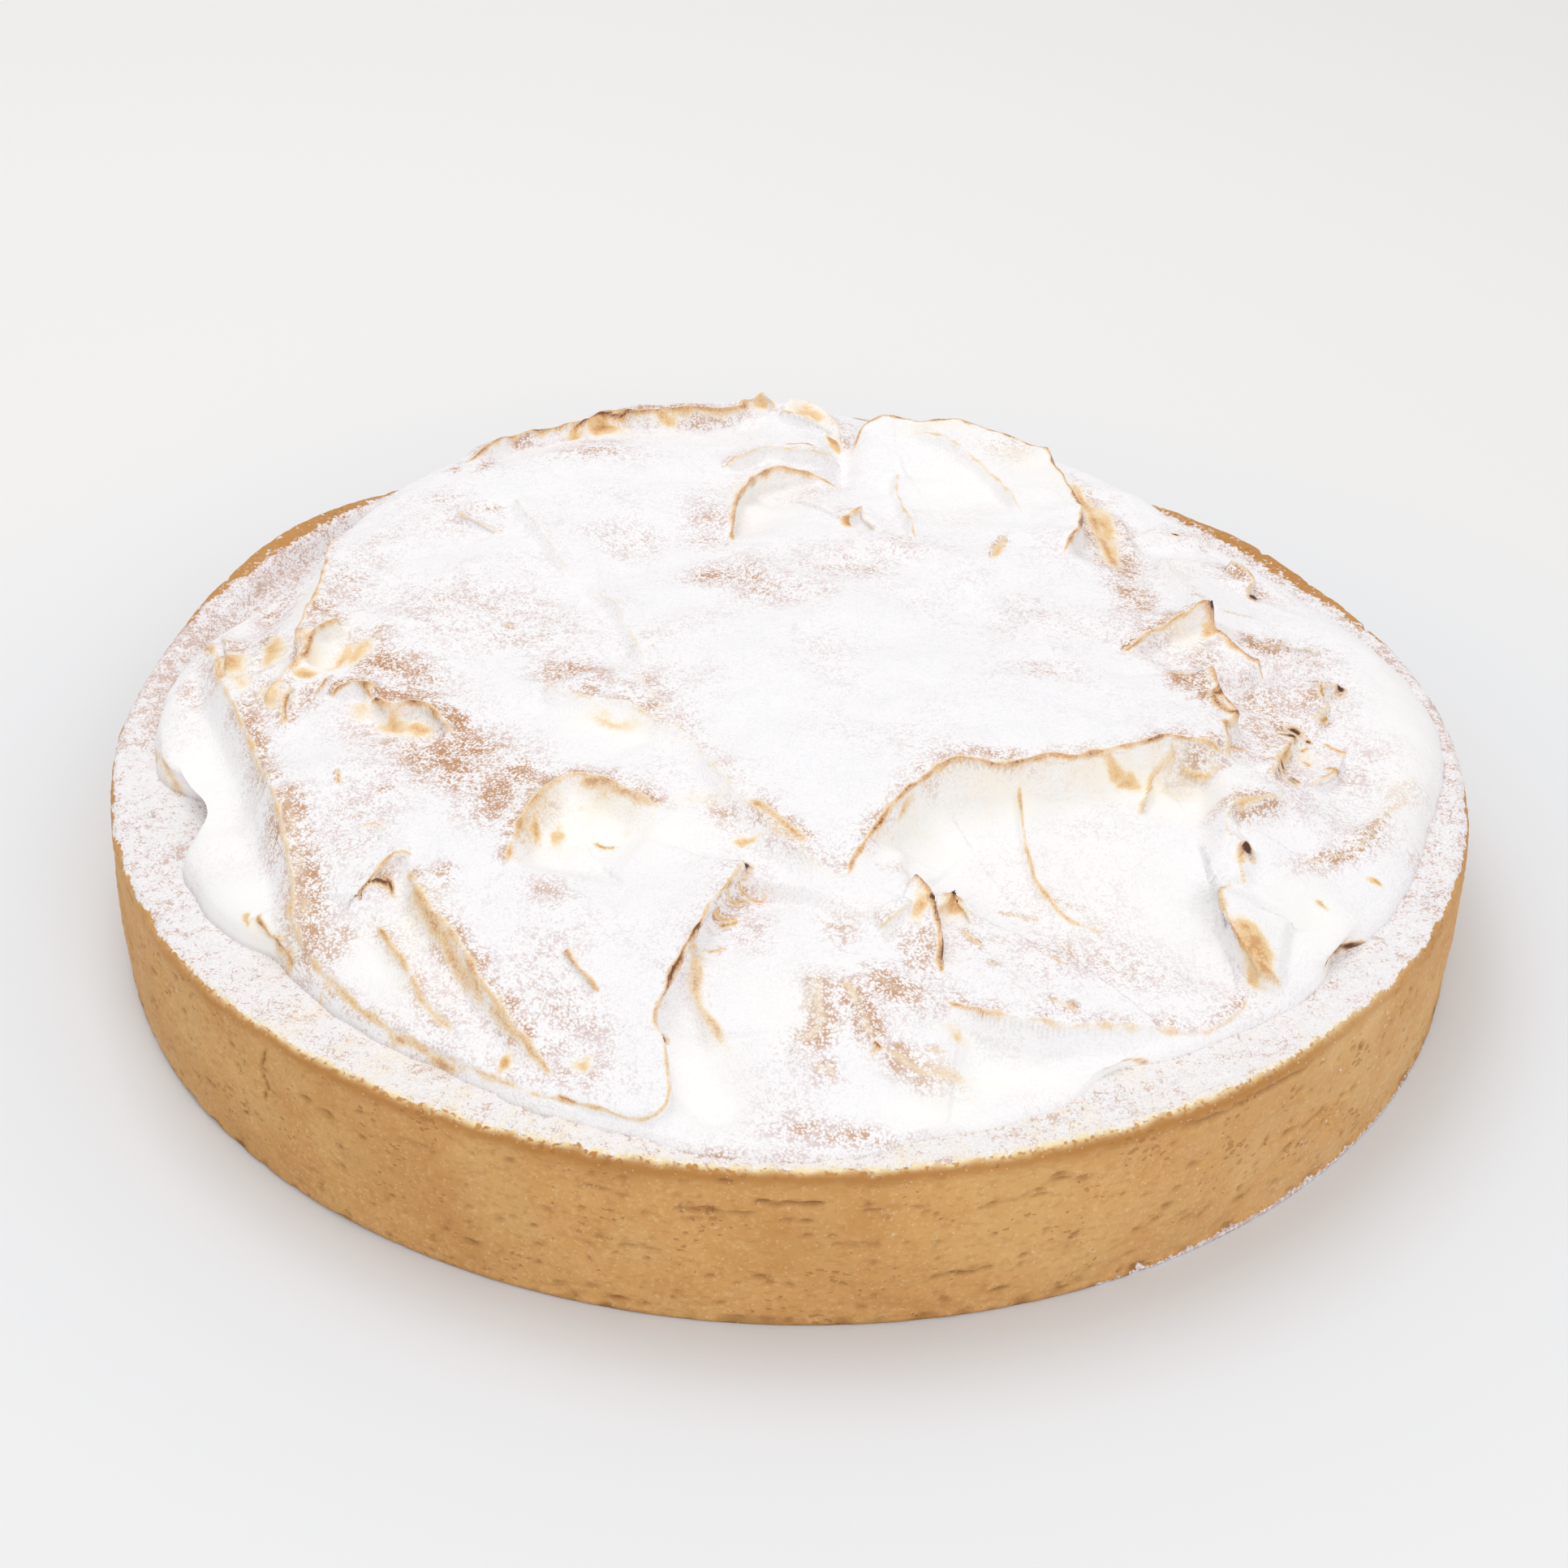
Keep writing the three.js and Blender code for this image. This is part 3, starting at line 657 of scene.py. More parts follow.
# the swoop at the front, up to its peak, and the low ground beside it
fold("lip", [(-36, -96.5), (-29, -98.5), (-20, -101.8), (-15.4, -100.7), (-15.8, -95.9), (-18, -88.2),
     (-16.2, -83), (-13.6, -76.4), (-10.6, -67.7), (-6.4, -59.2)], 1.6, 3.4, 8, 10, wall=3.0, lean=0.8,
     line=0.6, wide=0.3, under=0.08, fade=(0.2, 0.02))
fold("seam", [(-11.6, -76), (-12.8, -80), (-11.9, -83.5), (-8.4, -90.5)], 0.7, 0.5, 2.5, 3, line=0)
fold("seam", [(3, -79), (5, -87), (1.6, -92), (3.5, -96)], 0.5, 0.6, 3, 3, line=0)
fold("soft", [(9, -82), (11.5, -89), (15, -93), (20, -95.3), (28, -94.4)], 0.6, 1.2, 5, 6, line=0.1,
     over=0.2)
fold("seam", [(12, -86), (20, -84), (21.5, -78)], 0.4, 0.5, 4, 4, line=0)
# the two torn points at the mouth of the long hollow
fold("torn", [(21.6, -77), (21.2, -71.4), (20.3, -66.4), (19.6, -63.2), (17.8, -61.8)], 1.2, 1.6, 4, 5,
     line=1.1, wide=0.5, under=0.12, over=0.3, fade=(0.3, 0.02), char=0.3)
fold("seam", [(17.6, -61), (16, -57), (17, -52)], 0.6, 0.8, 3, 4)
fold("torn", [(12.6, -70.6), (14.6, -69.4), (17.4, -65.6)], 0.8, 0.7, 3, 3, line=0.5)
fold("torn", [(20.8, -66), (23.8, -60.6), (27, -66)], 0.6, 1.2, 2, 3, line=0.3, under=0.5,
     under_width=1.8)
# a low seam down the long hollow, and the lip at its mouth
fold("seam", [(34.4, -37.4), (34.8, -43), (35.2, -49), (36.4, -54), (40, -60), (46, -62)], 0.7, 0.9, 7, 9,
     step=1.2, line=0.8, fade=(0.05, 0.5))
fold("soft", [(20, -82), (24.6, -82.2), (30.4, -83.5), (37.2, -83.4), (43.7, -82), (50, -80.6),
     (58, -79.6), (63, -76), (66, -71)], 1.4, 4.4, 7, 9, step=2.2, wall=4.5, lean=0.3, line=0.4, wide=0.4,
     under=0.04, over=0.45, over_width=2.4)
fold("seam", [(26, -76), (34, -79.5), (44, -78)], 0.3, 0.4, 4, 4)
# the curl at the right and the ridge above it
fold("lip", [(64.5, -54), (63, -59.8), (64.7, -65.3), (67, -68.4), (71, -69.5)], 3.2, 2.4, 10, 6, step=1.4,
     wall=2.4, lean=1.2, line=0.75, over=0, under=0.1, fade=(0.25, 0.06))
fold("torn", [(66.4, -54.5), (66, -51.5), (67.6, -47)], 1.2, 0.5, 3, 3, step=2.4, lean=0, line=0.7, over=0,
     under_width=1.0)
fold("seam", [(67.6, -46.6), (65, -44), (66.5, -39.5), (71, -38), (76, -34)], 1.4, 1.2, 5, 6)
# the right edge of the middle, with its burnt peak
fold("torn", [(67, -29), (66.2, -23), (69, -18), (67.4, -13), (66.6, -8), (65.6, -4)], 1.8, 2.6, 6, 8,
     line=0.95, wide=0.55)
fold("torn", [(59, -5.6), (62.4, -5), (65.6, -4)], 0.5, 0.5, 2.5, 3, line=0.5)
fold("torn", [(76.6, 0), (73.6, 2.2), (71, 4.8), (69.1, 8.4), (68.3, 12.8)], 2.2, 2.4, 5, 7, line=1.05,
     wide=0.75, fade=(0.12, 0.02))
fold("torn", [(53, -1), (56.4, 2.4), (59.7, 5.7), (65.5, 11.2), (68.2, 13)], 1.6, 1.8, 6, 6, line=0.8,
     over=0.95, fade=(0.3, 0.02))
fold("soft", [(63.7, 43), (65, 28), (68.2, 14)], 1.0, 1.6, 7, 7, line=0.12)
# crumpled points on the right shelf
fold("torn", [(73.5, -29), (76, -21), (80, -13)], 1.2, 1.0, 2.6, 3, line=0.5)
fold("torn", [(80, -26), (84.5, -22), (87, -15)], 0.9, 0.9, 2.6, 3, line=0.35)
fold("torn", [(83, -8), (86, -5), (85, 0), (89.6, 2.4)], 1.2, 1.0, 2.8, 3, line=0.4)
fold("torn", [(78, 13.5), (82.5, 14.2), (88, 12)], 0.8, 0.9, 2.5, 3, line=0.35)
fold("torn", [(77.6, 31), (79, 34.5), (77.6, 38.6), (75, 39.2)], 1.5, 1.2, 3, 3, line=0.6, over=0.2)
fold("soft", [(61, 52), (67.5, 50), (76, 53)], 1.2, 1.2, 3, 4, line=0.3)
fold("soft", [(99, -17), (95.5, -24), (91, -31), (84, -40)], 0.7, 0.8, 4, 5, line=0.1)
# the swirl at the back, which falls away outside
fold("lip", [(45, 30), (47.4, 36), (49, 42), (49.2, 48), (48.3, 55), (47, 62), (45.3, 69.5), (41.3, 74.1),
     (34, 77.4), (24, 78.6), (17.3, 80.4), (12.6, 78), (9, 74)], 2.4, 2.8, 9, 8, step=2.0, wall=3.0,
     lean=0.6, line=1.2, wide=0.38, under=0.3, under_width=4, over=0, fade=(0.1, 0.06))
fold("seam", [(20, 76), (26.2, 73.6), (31, 68.6), (35.6, 60.6), (38.4, 52), (39.5, 46)], 1.0, 1.1, 5, 6,
     line=0.42)
fold("seam", [(18.4, 66), (17.7, 58.6), (19.2, 48.2), (20.5, 36)], 0.9, 1.2, 4, 5, line=0.5)
fold("soft", [(59.5, 41), (58.8, 47), (57.8, 54), (54, 61)], 0.8, 1.2, 5, 5, line=0)
fold("lip", [(-11, 34), (-11.8, 42), (-11.2, 48.5), (-9.4, 54.5), (-6.6, 60.4), (0, 62), (8, 61)], 2.0,
     2.6, 7, 8, lean=0.7, line=0.95, wide=0.5, under=0.2, over=0.3, fade=(0.2, 0.3))
fold("torn", [(-14, 59.5), (-11, 62.2), (-7, 65.4), (-2, 66.4), (4, 67.6), (8, 71)], 1.4, 1.4, 5, 6,
     line=0.5)
# the back edge, with its pillow, peak and leaf
fold("torn", [(-61, 61), (-54, 72.5), (-49.6, 74.6), (-44.5, 77.3), (-40, 78.2), (-37, 81.4), (-33, 82.4),
     (-30.5, 80), (-22, 81), (-14, 82.4), (-9, 87)], 1.8, 1.8, 7, 9, step=2.0, line=0.95, wide=0.6,
     under=0.24, over=0.7, over_width=3)
fold("torn", [(-12, 85), (-8.6, 88.6), (-6, 88.4), (-4.6, 84.6)], 1.4, 1.2, 3, 3, line=0.6)
fold("torn", [(-4.4, 83), (1, 81.4), (5.6, 79.2)], 1.4, 1.2, 3, 4, line=0.6)
fold("soft", [(-4, 87.6), (2, 88.6), (6.6, 84), (7.6, 78)], 1.6, 1.8, 4, 4, line=0.3, under=0.3)
fold("torn", [(8, 40.5), (9, 44), (11.4, 46.2)], 1.2, 1.0, 3, 4, line=0.6)
fold("torn", [(11.4, 46.2), (13, 42), (14, 38)], 1.0, 1.0, 3, 4, line=0.4, over=0)
# the slope at the very back, pulled outwards in a few strokes
fold("lip", [(38, 90), (28, 92.6), (16, 95.4), (4, 95), (-6, 93.4), (-14, 94.6)], 0.3, 2.6, 3, 6, step=1.6,
     wall=2.6, lean=0.3, line=0.7, under=0.2, over=0.6)
fold("soft", [(-22, 92), (-34, 91), (-44, 85), (-56, 81), (-66, 71)], 0.3, 2.4, 3, 6, step=2, wall=3,
     line=0.5, over=0.7)
fold("torn", [(4, 95), (0, 98.4), (1, 101)], 0.9, 0.9, 2.4, 3, line=0.5)
fold("torn", [(-44, 85), (-47, 88.6), (-52, 91)], 0.9, 0.8, 2.4, 3, line=0.6)
fold("seam", [(24, 94), (23, 98), (26, 100.6)], 0.7, 0.7, 3, 3, line=0.3)
# the left crest over its gutter, and the long outer fold that ends at the front
fold("lip", [(-85, 71), (-85.4, 64), (-82.4, 48), (-80.2, 32), (-79, 20), (-78.6, 11), (-79, -1),
     (-78.9, -9)], 2.4, 3.0, 8, 9, step=2.2, wall=3.4, lean=0.5, line=0.7, wide=0.38, under_width=3.5,
     over=0.5, fade=(0.08, 0.05))
fold("torn", [(-77.6, -8.4), (-79.8, -13), (-82.4, -18.2)], 1.2, 1.4, 3, 3, line=0.6, wide=0.6)
fold("soft", [(-104, 21), (-98, 12), (-92.6, -6), (-87.6, -16.6), (-81.6, -30.6), (-75.6, -46),
     (-71.8, -57.5), (-68.4, -69.4), (-61.6, -77.6), (-55.4, -84), (-48, -89.6), (-42, -92.8), (-30, -99)],
     2.2, 3.0, 5, 7, step=3.4, wall=5.0, line=0.45, wide=0.5, under_width=1.6, over_width=3,
     fade=(0.05, 0.1))
fold("torn", [(-97, 18), (-93, 5), (-90, -8)], 0.8, 0.8, 3, 4, line=0.3)
fold("torn", [(-107, -12.9), (-104, -11.1), (-100, -19), (-97.4, -27)], 0.8, 1.0, 2, 2, line=0.6, over=0)
# torn and toasted points on the left
fold("torn", [(-77.8, -9.6), (-76.6, -5.6), (-75.4, -2), (-73.2, 0.4)], 1.4, 2.0, 4, 4, wall=2.6,
     line=0.95, wide=0.5, over=0.95, over_width=3, char=0.25)
fold("seam", [(-80, -13), (-78, -8), (-73, -5)], 0.8, 0.9, 2.5, 3, line=0.1)
fold("torn", [(-74.6, -17.6), (-73.4, -15.4), (-72.2, -14)], 0.9, 0.9, 2, 2, line=0.7)
fold("torn", [(-71.8, -18.6), (-70, -17), (-68.4, -16.6), (-66.4, -17.8), (-65.3, -20.2)], 1.2, 1.5, 3, 3,
     line=0.9, over=0.9, char=0.3)
fold("torn", [(-79.2, -23), (-79.5, -19), (-78.4, -15.5)], 0.7, 0.8, 2, 3, line=0.6)
fold("torn", [(-65.2, -19.8), (-63.4, -22), (-61.5, -23.1), (-59.4, -22.4), (-57.1, -23.2), (-54.6, -25.6),
     (-51.6, -29)], 1.3, 2.0, 4, 5, line=0.9, wide=0.5, over=0.95, over_width=3, char=0.25)
fold("soft", [(-39, -16), (-35.5, -20.5), (-30, -22.6), (-24, -24.2), (-18, -30)], 0.8, 1.8, 9, 7,
     line=0.3, wide=0.8, over=0.5, over_width=5)
fold("seam", [(-63, -52.4), (-60.4, -51.8), (-57.6, -53.4)], 0.5, 0.7, 2, 3, line=0.5)
# the two ridges in front of them
fold("torn", [(-55.6, -64.4), (-57.8, -62.2), (-60.9, -64.4), (-59.2, -61), (-56.8, -58.4), (-53.6, -58)],
     0.9, 1.2, 3, 3, line=0.9, wide=0.36, char=0.1)
fold("soft", [(-54.6, -60), (-52, -66), (-49.5, -70.6), (-45, -76.4), (-42, -81.5), (-37.4, -87.8),
     (-31, -94.6)], 1.6, 2.6, 7, 6, step=2.0, lean=0.2, line=0.62, wide=0.5, under=0.22, under_width=3.2,
     over=0.85, over_width=2.4)
fold("soft", [(-58, -68), (-54.4, -74), (-50, -81), (-43.4, -87.4)], 0.7, 1.4, 3, 4, line=0)
fold("torn", [(-76, -62), (-73.4, -66.4), (-70, -71.5)], 1.2, 1.4, 3, 4, line=0.9, wide=0.6, over=0,
     char=0.4)
fold("torn", [(-30.4, -78), (-28, -81), (-25, -84.6)], 0.5, 0.6, 2, 2, line=0.9, wide=0.42, over=0.1,
     char=0.3)
# faint knife marks across the middle
fold("seam", [(-50.3, 46), (-43.9, 32.2), (-39.3, 22.5), (-37, 16.6)], 0.6, 1.1, 5, 6, line=0.3)
fold("seam", [(-36, 15), (-31.3, 12), (-26.9, 0.3), (-22.4, -15.4)], 0.6, 1.2, 6, 6, line=0.34)
fold("soft", [(-12, 28), (-8, 24.6), (-5, 21), (-3.9, 16)], 0.7, 1.1, 4, 4, line=0.12, over=0.3)
fold("torn", [(-60, 39.6), (-57, 38.6), (-54, 36), (-51, 33)], 0.7, 0.7, 3, 3, line=0.45)
fold("soft", [(-2.8, 22), (2.1, 26), (10.7, 33), (18.1, 32.5), (27.8, 26.5), (34.7, 16.5), (38.7, 4.9),
     (43.3, -12.2)], 0.8, 1.3, 8, 8, line=0.1, wide=0.8, under=0, over=0.12, fade=(0.2, 0.3))

# torn or pulled points: place, height, radius
PEAKS = [
    (-6.3, -59.4, 2.2, 2.4),
    (17.8, -62.4, 2.0, 2.2),
    (23.8, -60.8, 3.4, 2.2),
    (67.2, -48.6, 1.8, 2.2),
    (68.3, 12.9, 1.4, 2.0),
    (65.8, -4.4, 1.4, 2.0),
    (78.9, 30.4, 1.4, 1.8),
    (89.4, 1.8, 1.2, 1.8),
    (79.5, -12.4, 1.4, 2.4),
    (-7.4, 88.8, 3.0, 2.6),
    (45.4, 70.4, 2.0, 2.4),
    (6.8, 77.0, 2.4, 2.2),
    (11.2, 45.8, 1.6, 2.4),
    (-65.8, -18.4, 1.2, 2.2),
    (-36.3, 78.6, 2.6, 4.2),
    (66.6, -28.6, 1.4, 2.4),
    (-85.4, 70.0, 1.6, 2.4),
    (-50.0, 73.5, 1.2, 2.2),
    (1.5, 86.0, 2.2, 4.0),
]
# where the edge of the spread stands clear of the pastry: azimuth, spread, depth
UNDERCUTS = [
    (199, 4.5, 6.0),
    (-36.5, 3.5, 3.0),
    (-62.5, 3.0, 2.4),
    (-79, 4.0, 1.6),
    (222, 3.5, 1.8),
    (243, 5.0, 1.2),
    (258, 5.0, 1.0),
    (120, 8.0, 1.2),
    (75, 9.0, 1.2),
    (-12, 8.0, 1.0),
]
# toasted skin that shows through the sugar: centre, half widths, turn in degrees, strength
TOASTED = [
    (-50.6, -35.4, 10, 7, -30, 1.0),
    (-43, -45, 5, 10, 10, 0.9),
    (-41.5, -40, 5, 4, 0, 0.9),
    (-58, -32, 15, 10, -30, 0.42),
    (-69.2, -5, 4.2, 5.4, -30, 1.1),
    (-65, -11, 6, 4, -40, 1.0),
    (-84, -2, 4, 9, 15, 0.7),
    (-92, 2, 3.5, 9, 15, 0.8),
    (-81.4, -17, 3.6, 6, 25, 0.7),
    (-90, 25, 4, 9, 10, 0.45),
    (-98.4, -2, 2.6, 9, 12, 0.4),
    (-37, 65, 9, 5, 0, 0.5),
    (-42.5, 79, 5, 2.6, 0, 1.0),
    (-72.4, -71, 2.4, 3, 0, 0.9),
    (-67, -69, 3, 4, 0, 0.9),
    (-61, -20, 4, 2.4, -30, 0.9),
    (-10.4, -48, 2.6, 5, 40, 0.55),
    (-4, -72, 3, 5, 0, 0.35),
    (63, -29.4, 4.4, 2.2, 20, 1.0),
    (66.5, 2, 4, 6, 0, 0.6),
    (65.6, -13, 3, 5, 0, 0.9),
    (78, 37, 4.4, 5, 0, 0.9),
    (58.6, 50, 3, 8, 4, 0.9),
    (-56.6, -20.6, 4, 2, -30, 0.95),
    (-52, -26, 4, 2.4, -45, 0.9),
    (-75, 1.4, 3, 2.6, 40, 0.8),
    (-60, -14, 12, 6, -42, 0.5),
    (-50, 4, 24, 12, -35, 0.3),
    (-75, -17, 2.6, 2.4, 0, 0.8),
    (-77.4, 4, 2.2, 4.5, 0, 0.75),
    (-77.8, -22, 1.4, 2.2, 0, 0.9),
    (-76, -18.6, 2.6, 2, 0, 0.6),
    (-60, -43.6, 1.7, 1.6, 0, 0.8),
    (-59.4, -39.2, 1.2, 0.8, 0, 0.8),
    (-35, -13, 8, 6, -30, 0.55),
    (-75, 14, 5, 10, 10, 0.4),
    (-86, 5, 2.4, 6, 15, 0.85),
    (-88.6, 23, 4, 13, 0, 0.6),
    (-12, 20, 8, 4.5, -5, 1.0),
    (-4, 15, 8, 6, -20, 0.5),
    (9, 25.5, 10, 5, 10, 0.5),
    (-15.6, 42, 5, 10, 5, 0.42),
    (-15.4, 34, 4, 3, 0, 0.5),
    (-30, 34, 9, 6, -20, 0.25),
    (-46.7, 2, 1.6, 1.6, 0, 0.9),
    (-44, -1, 8, 5, -20, 0.45),
    (-55, 42.6, 4, 2, -10, 0.75),
    (-63, 46.7, 3, 1.5, 0, 0.55),
    (-62.1, 58.5, 1.2, 2.4, 0, 0.8),
    (-56.6, 60, 1.3, 5, -5, 0.85),
    (54.6, 51, 3, 9, 3, 1.15),
    (55.8, 36, 3.4, 10, 0, 1.15),
    (56.4, 20, 4, 8, 0, 0.75),
    (77, 38, 4, 5, 0, 0.7),
    (78.8, 13, 5, 2.2, 5, 0.8),
    (72, 52, 7, 5, -25, 0.22),
    (40, -9, 6, 4, -30, 0.3),
    (62.8, -9, 4, 3.6, 0, 0.9),
    (60, 3, 8, 7, 30, 0.4),
    (76, -14, 8, 18, 0, 0.5),
    (81, -8, 14, 22, 8, 0.34),
    (-27.5, 82.6, 8, 3.6, 0, 1.1),
    (-84, -14, 4, 8, 20, 0.55),
    (-86, -2, 6, 10, 12, 0.5),
    (38, 72, 6, 4, -20, 0.35),
    (57.4, 40, 3.6, 16, -3, 0.75),
    (68, -38, 6, 2.4, 25, 0.85),
    (79.6, -12, 3, 3, 0, 1.0),
    (86.2, 3, 1.5, 1.2, 0, 0.9),
    (85.1, -8, 1.8, 1.4, 0, 0.9),
    (77.6, -19.6, 1.6, 2.4, 0, 0.9),
    (74, -28.6, 2.6, 2, 0, 0.7),
    (84, -2, 5, 12, 0, 0.4),
    (84, 10, 7, 5, 20, 0.4),
    (96, -24, 2.4, 5, -30, 0.8),
    (88, -36, 2.4, 8, -38, 0.6),
    (78, -45, 7, 2.2, 32, 0.45),
    (100, -38, 5, 12, -20, 0.45),
    (38, -68, 18, 8, 10, 0.34),
    (40, -58, 12, 8, 0, 0.3),
    (7.4, -70, 2.8, 4.4, 0, 0.6),
    (15.2, -57.6, 2.6, 2, 0, 0.4),
    (15.4, -81, 5.4, 2.6, -35, 0.6),
    (-8, -66, 3, 6, 0, 0.2),
    (20, -39.4, 4, 1.6, 45, 0.6),
    (31, -35.8, 7, 1.8, 0, 0.6),
    (12.6, -51, 5, 1.6, 55, 0.7),
    (19, -73, 3, 5, 0, 0.7),
    (8, -103, 12, 2.4, 0, 0.5),
    (-6, -108, 14, 2.0, 0, 0.6),
    (-2.6, -51.6, 4.6, 1.8, -42, 0.8),
    (-34, -66, 3, 4, 25, 0.4),
    (-64, -50, 7, 10, -30, 0.35),
    (-57.2, -60.6, 2.6, 2, 35, 0.75),
    (-49, -62.6, 2.6, 3, 0, 0.8),
    (-28, -94.6, 8, 4, -20, 0.55),
    (-28, -88, 9, 4, -40, 0.35),
    (-33, -80, 6, 6, -30, 0.25),
    (-60, 40, 6, 10, 0, 0.25),
    (-23, 81, 7, 2.6, 4, 1.0),
    (-37, 71, 6, 3, 0, 0.4),
    (-51.5, 74, 3.4, 1.6, 10, 0.9),
    (-97, 5, 3, 9, 30, 0.6),
    (-72, 30, 5, 10, 0, 0.2),
    (18, 33, 8, 5, 0, 0.3),
    (0, 56, 7, 5, 0, 0.25),
    (30, 50, 7, 9, 0, 0.15),
    (-20, -8, 12, 14, 0, 0.12),
    (40, 14, 14, 10, 0, 0.15),
    (-60, 85, 12, 6, 40, 0.4),
    (40, 93, 22, 4, -20, 0.35),
    (85, 55, 6, 14, 30, 0.5),
    (0, 100, 20, 4, 0, 0.35),
    (14, 94, 12, 2.4, -8, 0.9),
    (-36, 89, 12, 2.4, 24, 0.9),
    (-10, 98, 8, 3, 0, 0.8),
]
# smooth golden skin, bare of sugar: centre, half widths, turn in degrees, strength
GOLDEN = [
    (-76.8, -12.2, 1.8, 1.4, 40, 0.48),
    (-74.4, -9.8, 2.0, 3.4, -20, 0.10),
    (-71.8, -8.4, 1.4, 4.0, -25, 0.36),
    (-66.9, -21.8, 1.8, 1.6, 0, 0.24),
    (-61.3, -25.4, 3.2, 1.5, -25, 0.42),
    (-57.2, -27, 2.2, 1.5, -35, 0.46),
    (-90.8, -2.6, 2.2, 4.2, 15, 0.52),
    (-88.3, -9.4, 2.0, 4.0, 20, 0.26),
    (-84.5, 0, 1.7, 6, 5, 0.46),
    (-81.6, -16, 1.5, 3.6, 25, 0.4),
    (48.8, -33.4, 3.6, 1.0, -3, 0.36),
    (51, -34, 1.3, 1.3, 0, 0.40),
    (57, -32, 10, 2.8, 4, 0.13),
    (30, -38.4, 7, 1.6, 4, 0.16),
    (66.9, -66.2, 1.8, 3.3, 35, 0.6),
    (66.4, -69, 0.9, 1.8, 40, 0.42),
    (65.7, -50.4, 0.8, 1.6, 0, 0.36),
    (67.7, 8.4, 0.9, 2.4, -12, 0.50),
    (64, 7, 3.5, 3.5, 40, 0.12),
    (81, -17.5, 1.6, 3.2, 0, 0.2),
    (55, 51, 1.9, 8, 4, 0.42),
    (52, 62, 1.8, 8, 12, 0.42),
    (-36.6, 78.4, 3.6, 2.2, 5, 0.6),
    (-25.5, 79.8, 2.6, 1.2, 0, 0.5),
    (62.6, -30.4, 2.6, 0.6, 10, 0.3),
    (-69.2, -7.4, 1.7, 3.2, -25, 0.42),
    (55, 40, 1.5, 7, 0, 0.34),
    (-83.5, 24, 1.4, 12, 0, 0.14),
    (-37, -51.4, 0.8, 2.8, 0, 0.46),
    (-33.6, -51, 1.0, 2.8, 0, 0.34),
    (-36, -46.5, 3, 3.5, 0, 0.16),
    (-13, -44.5, 6, 2.6, 0, 0.15),
    (-6.4, -53.4, 1.6, 0.9, 0, 0.48),
    (40, 70, 7, 6, -40, 0.13),
    (25, 77, 11, 2.6, 0, 0.15),
    (47, 60, 2.6, 12, 4, 0.12),
    (-42, 76, 2, 1.2, 20, 0.44),
    (1.5, 85.6, 4, 2.2, -10, 0.36),
    (6.5, 76.6, 1.2, 1.6, 0, 0.55),
    (-7.6, 87.6, 1.8, 1.2, 0, 0.40),
    (-27, -26.4, 6, 1.6, -15, 0.26),
    (-11, 52, 1.4, 5, -15, 0.16),
    (34.6, 31.4, 0.8, 3.8, -14, 0.40),
    (8.6, 41.8, 0.9, 1.8, 0, 0.55),
    (87.8, -44.6, 1.3, 0.9, 0, 0.50),
    (78.6, -52.6, 0.9, 0.6, -30, 0.48),
    (18.6, -66.4, 1.0, 2.8, -10, 0.44),
    (24.2, -62.6, 2.2, 1.6, 0, 0.50),
    (23.8, -86, 1.8, 1.4, 0, 0.26),
    (-77.9, -62.3, 0.6, 0.9, 0, 0.45),
    (-65.9, -76.6, 1.6, 1, 0, 0.35),
    (-37, -92.4, 0.8, 1.6, -15, 0.46),
    (-26.4, -94, 1.7, 1.1, 0, 0.36),
]
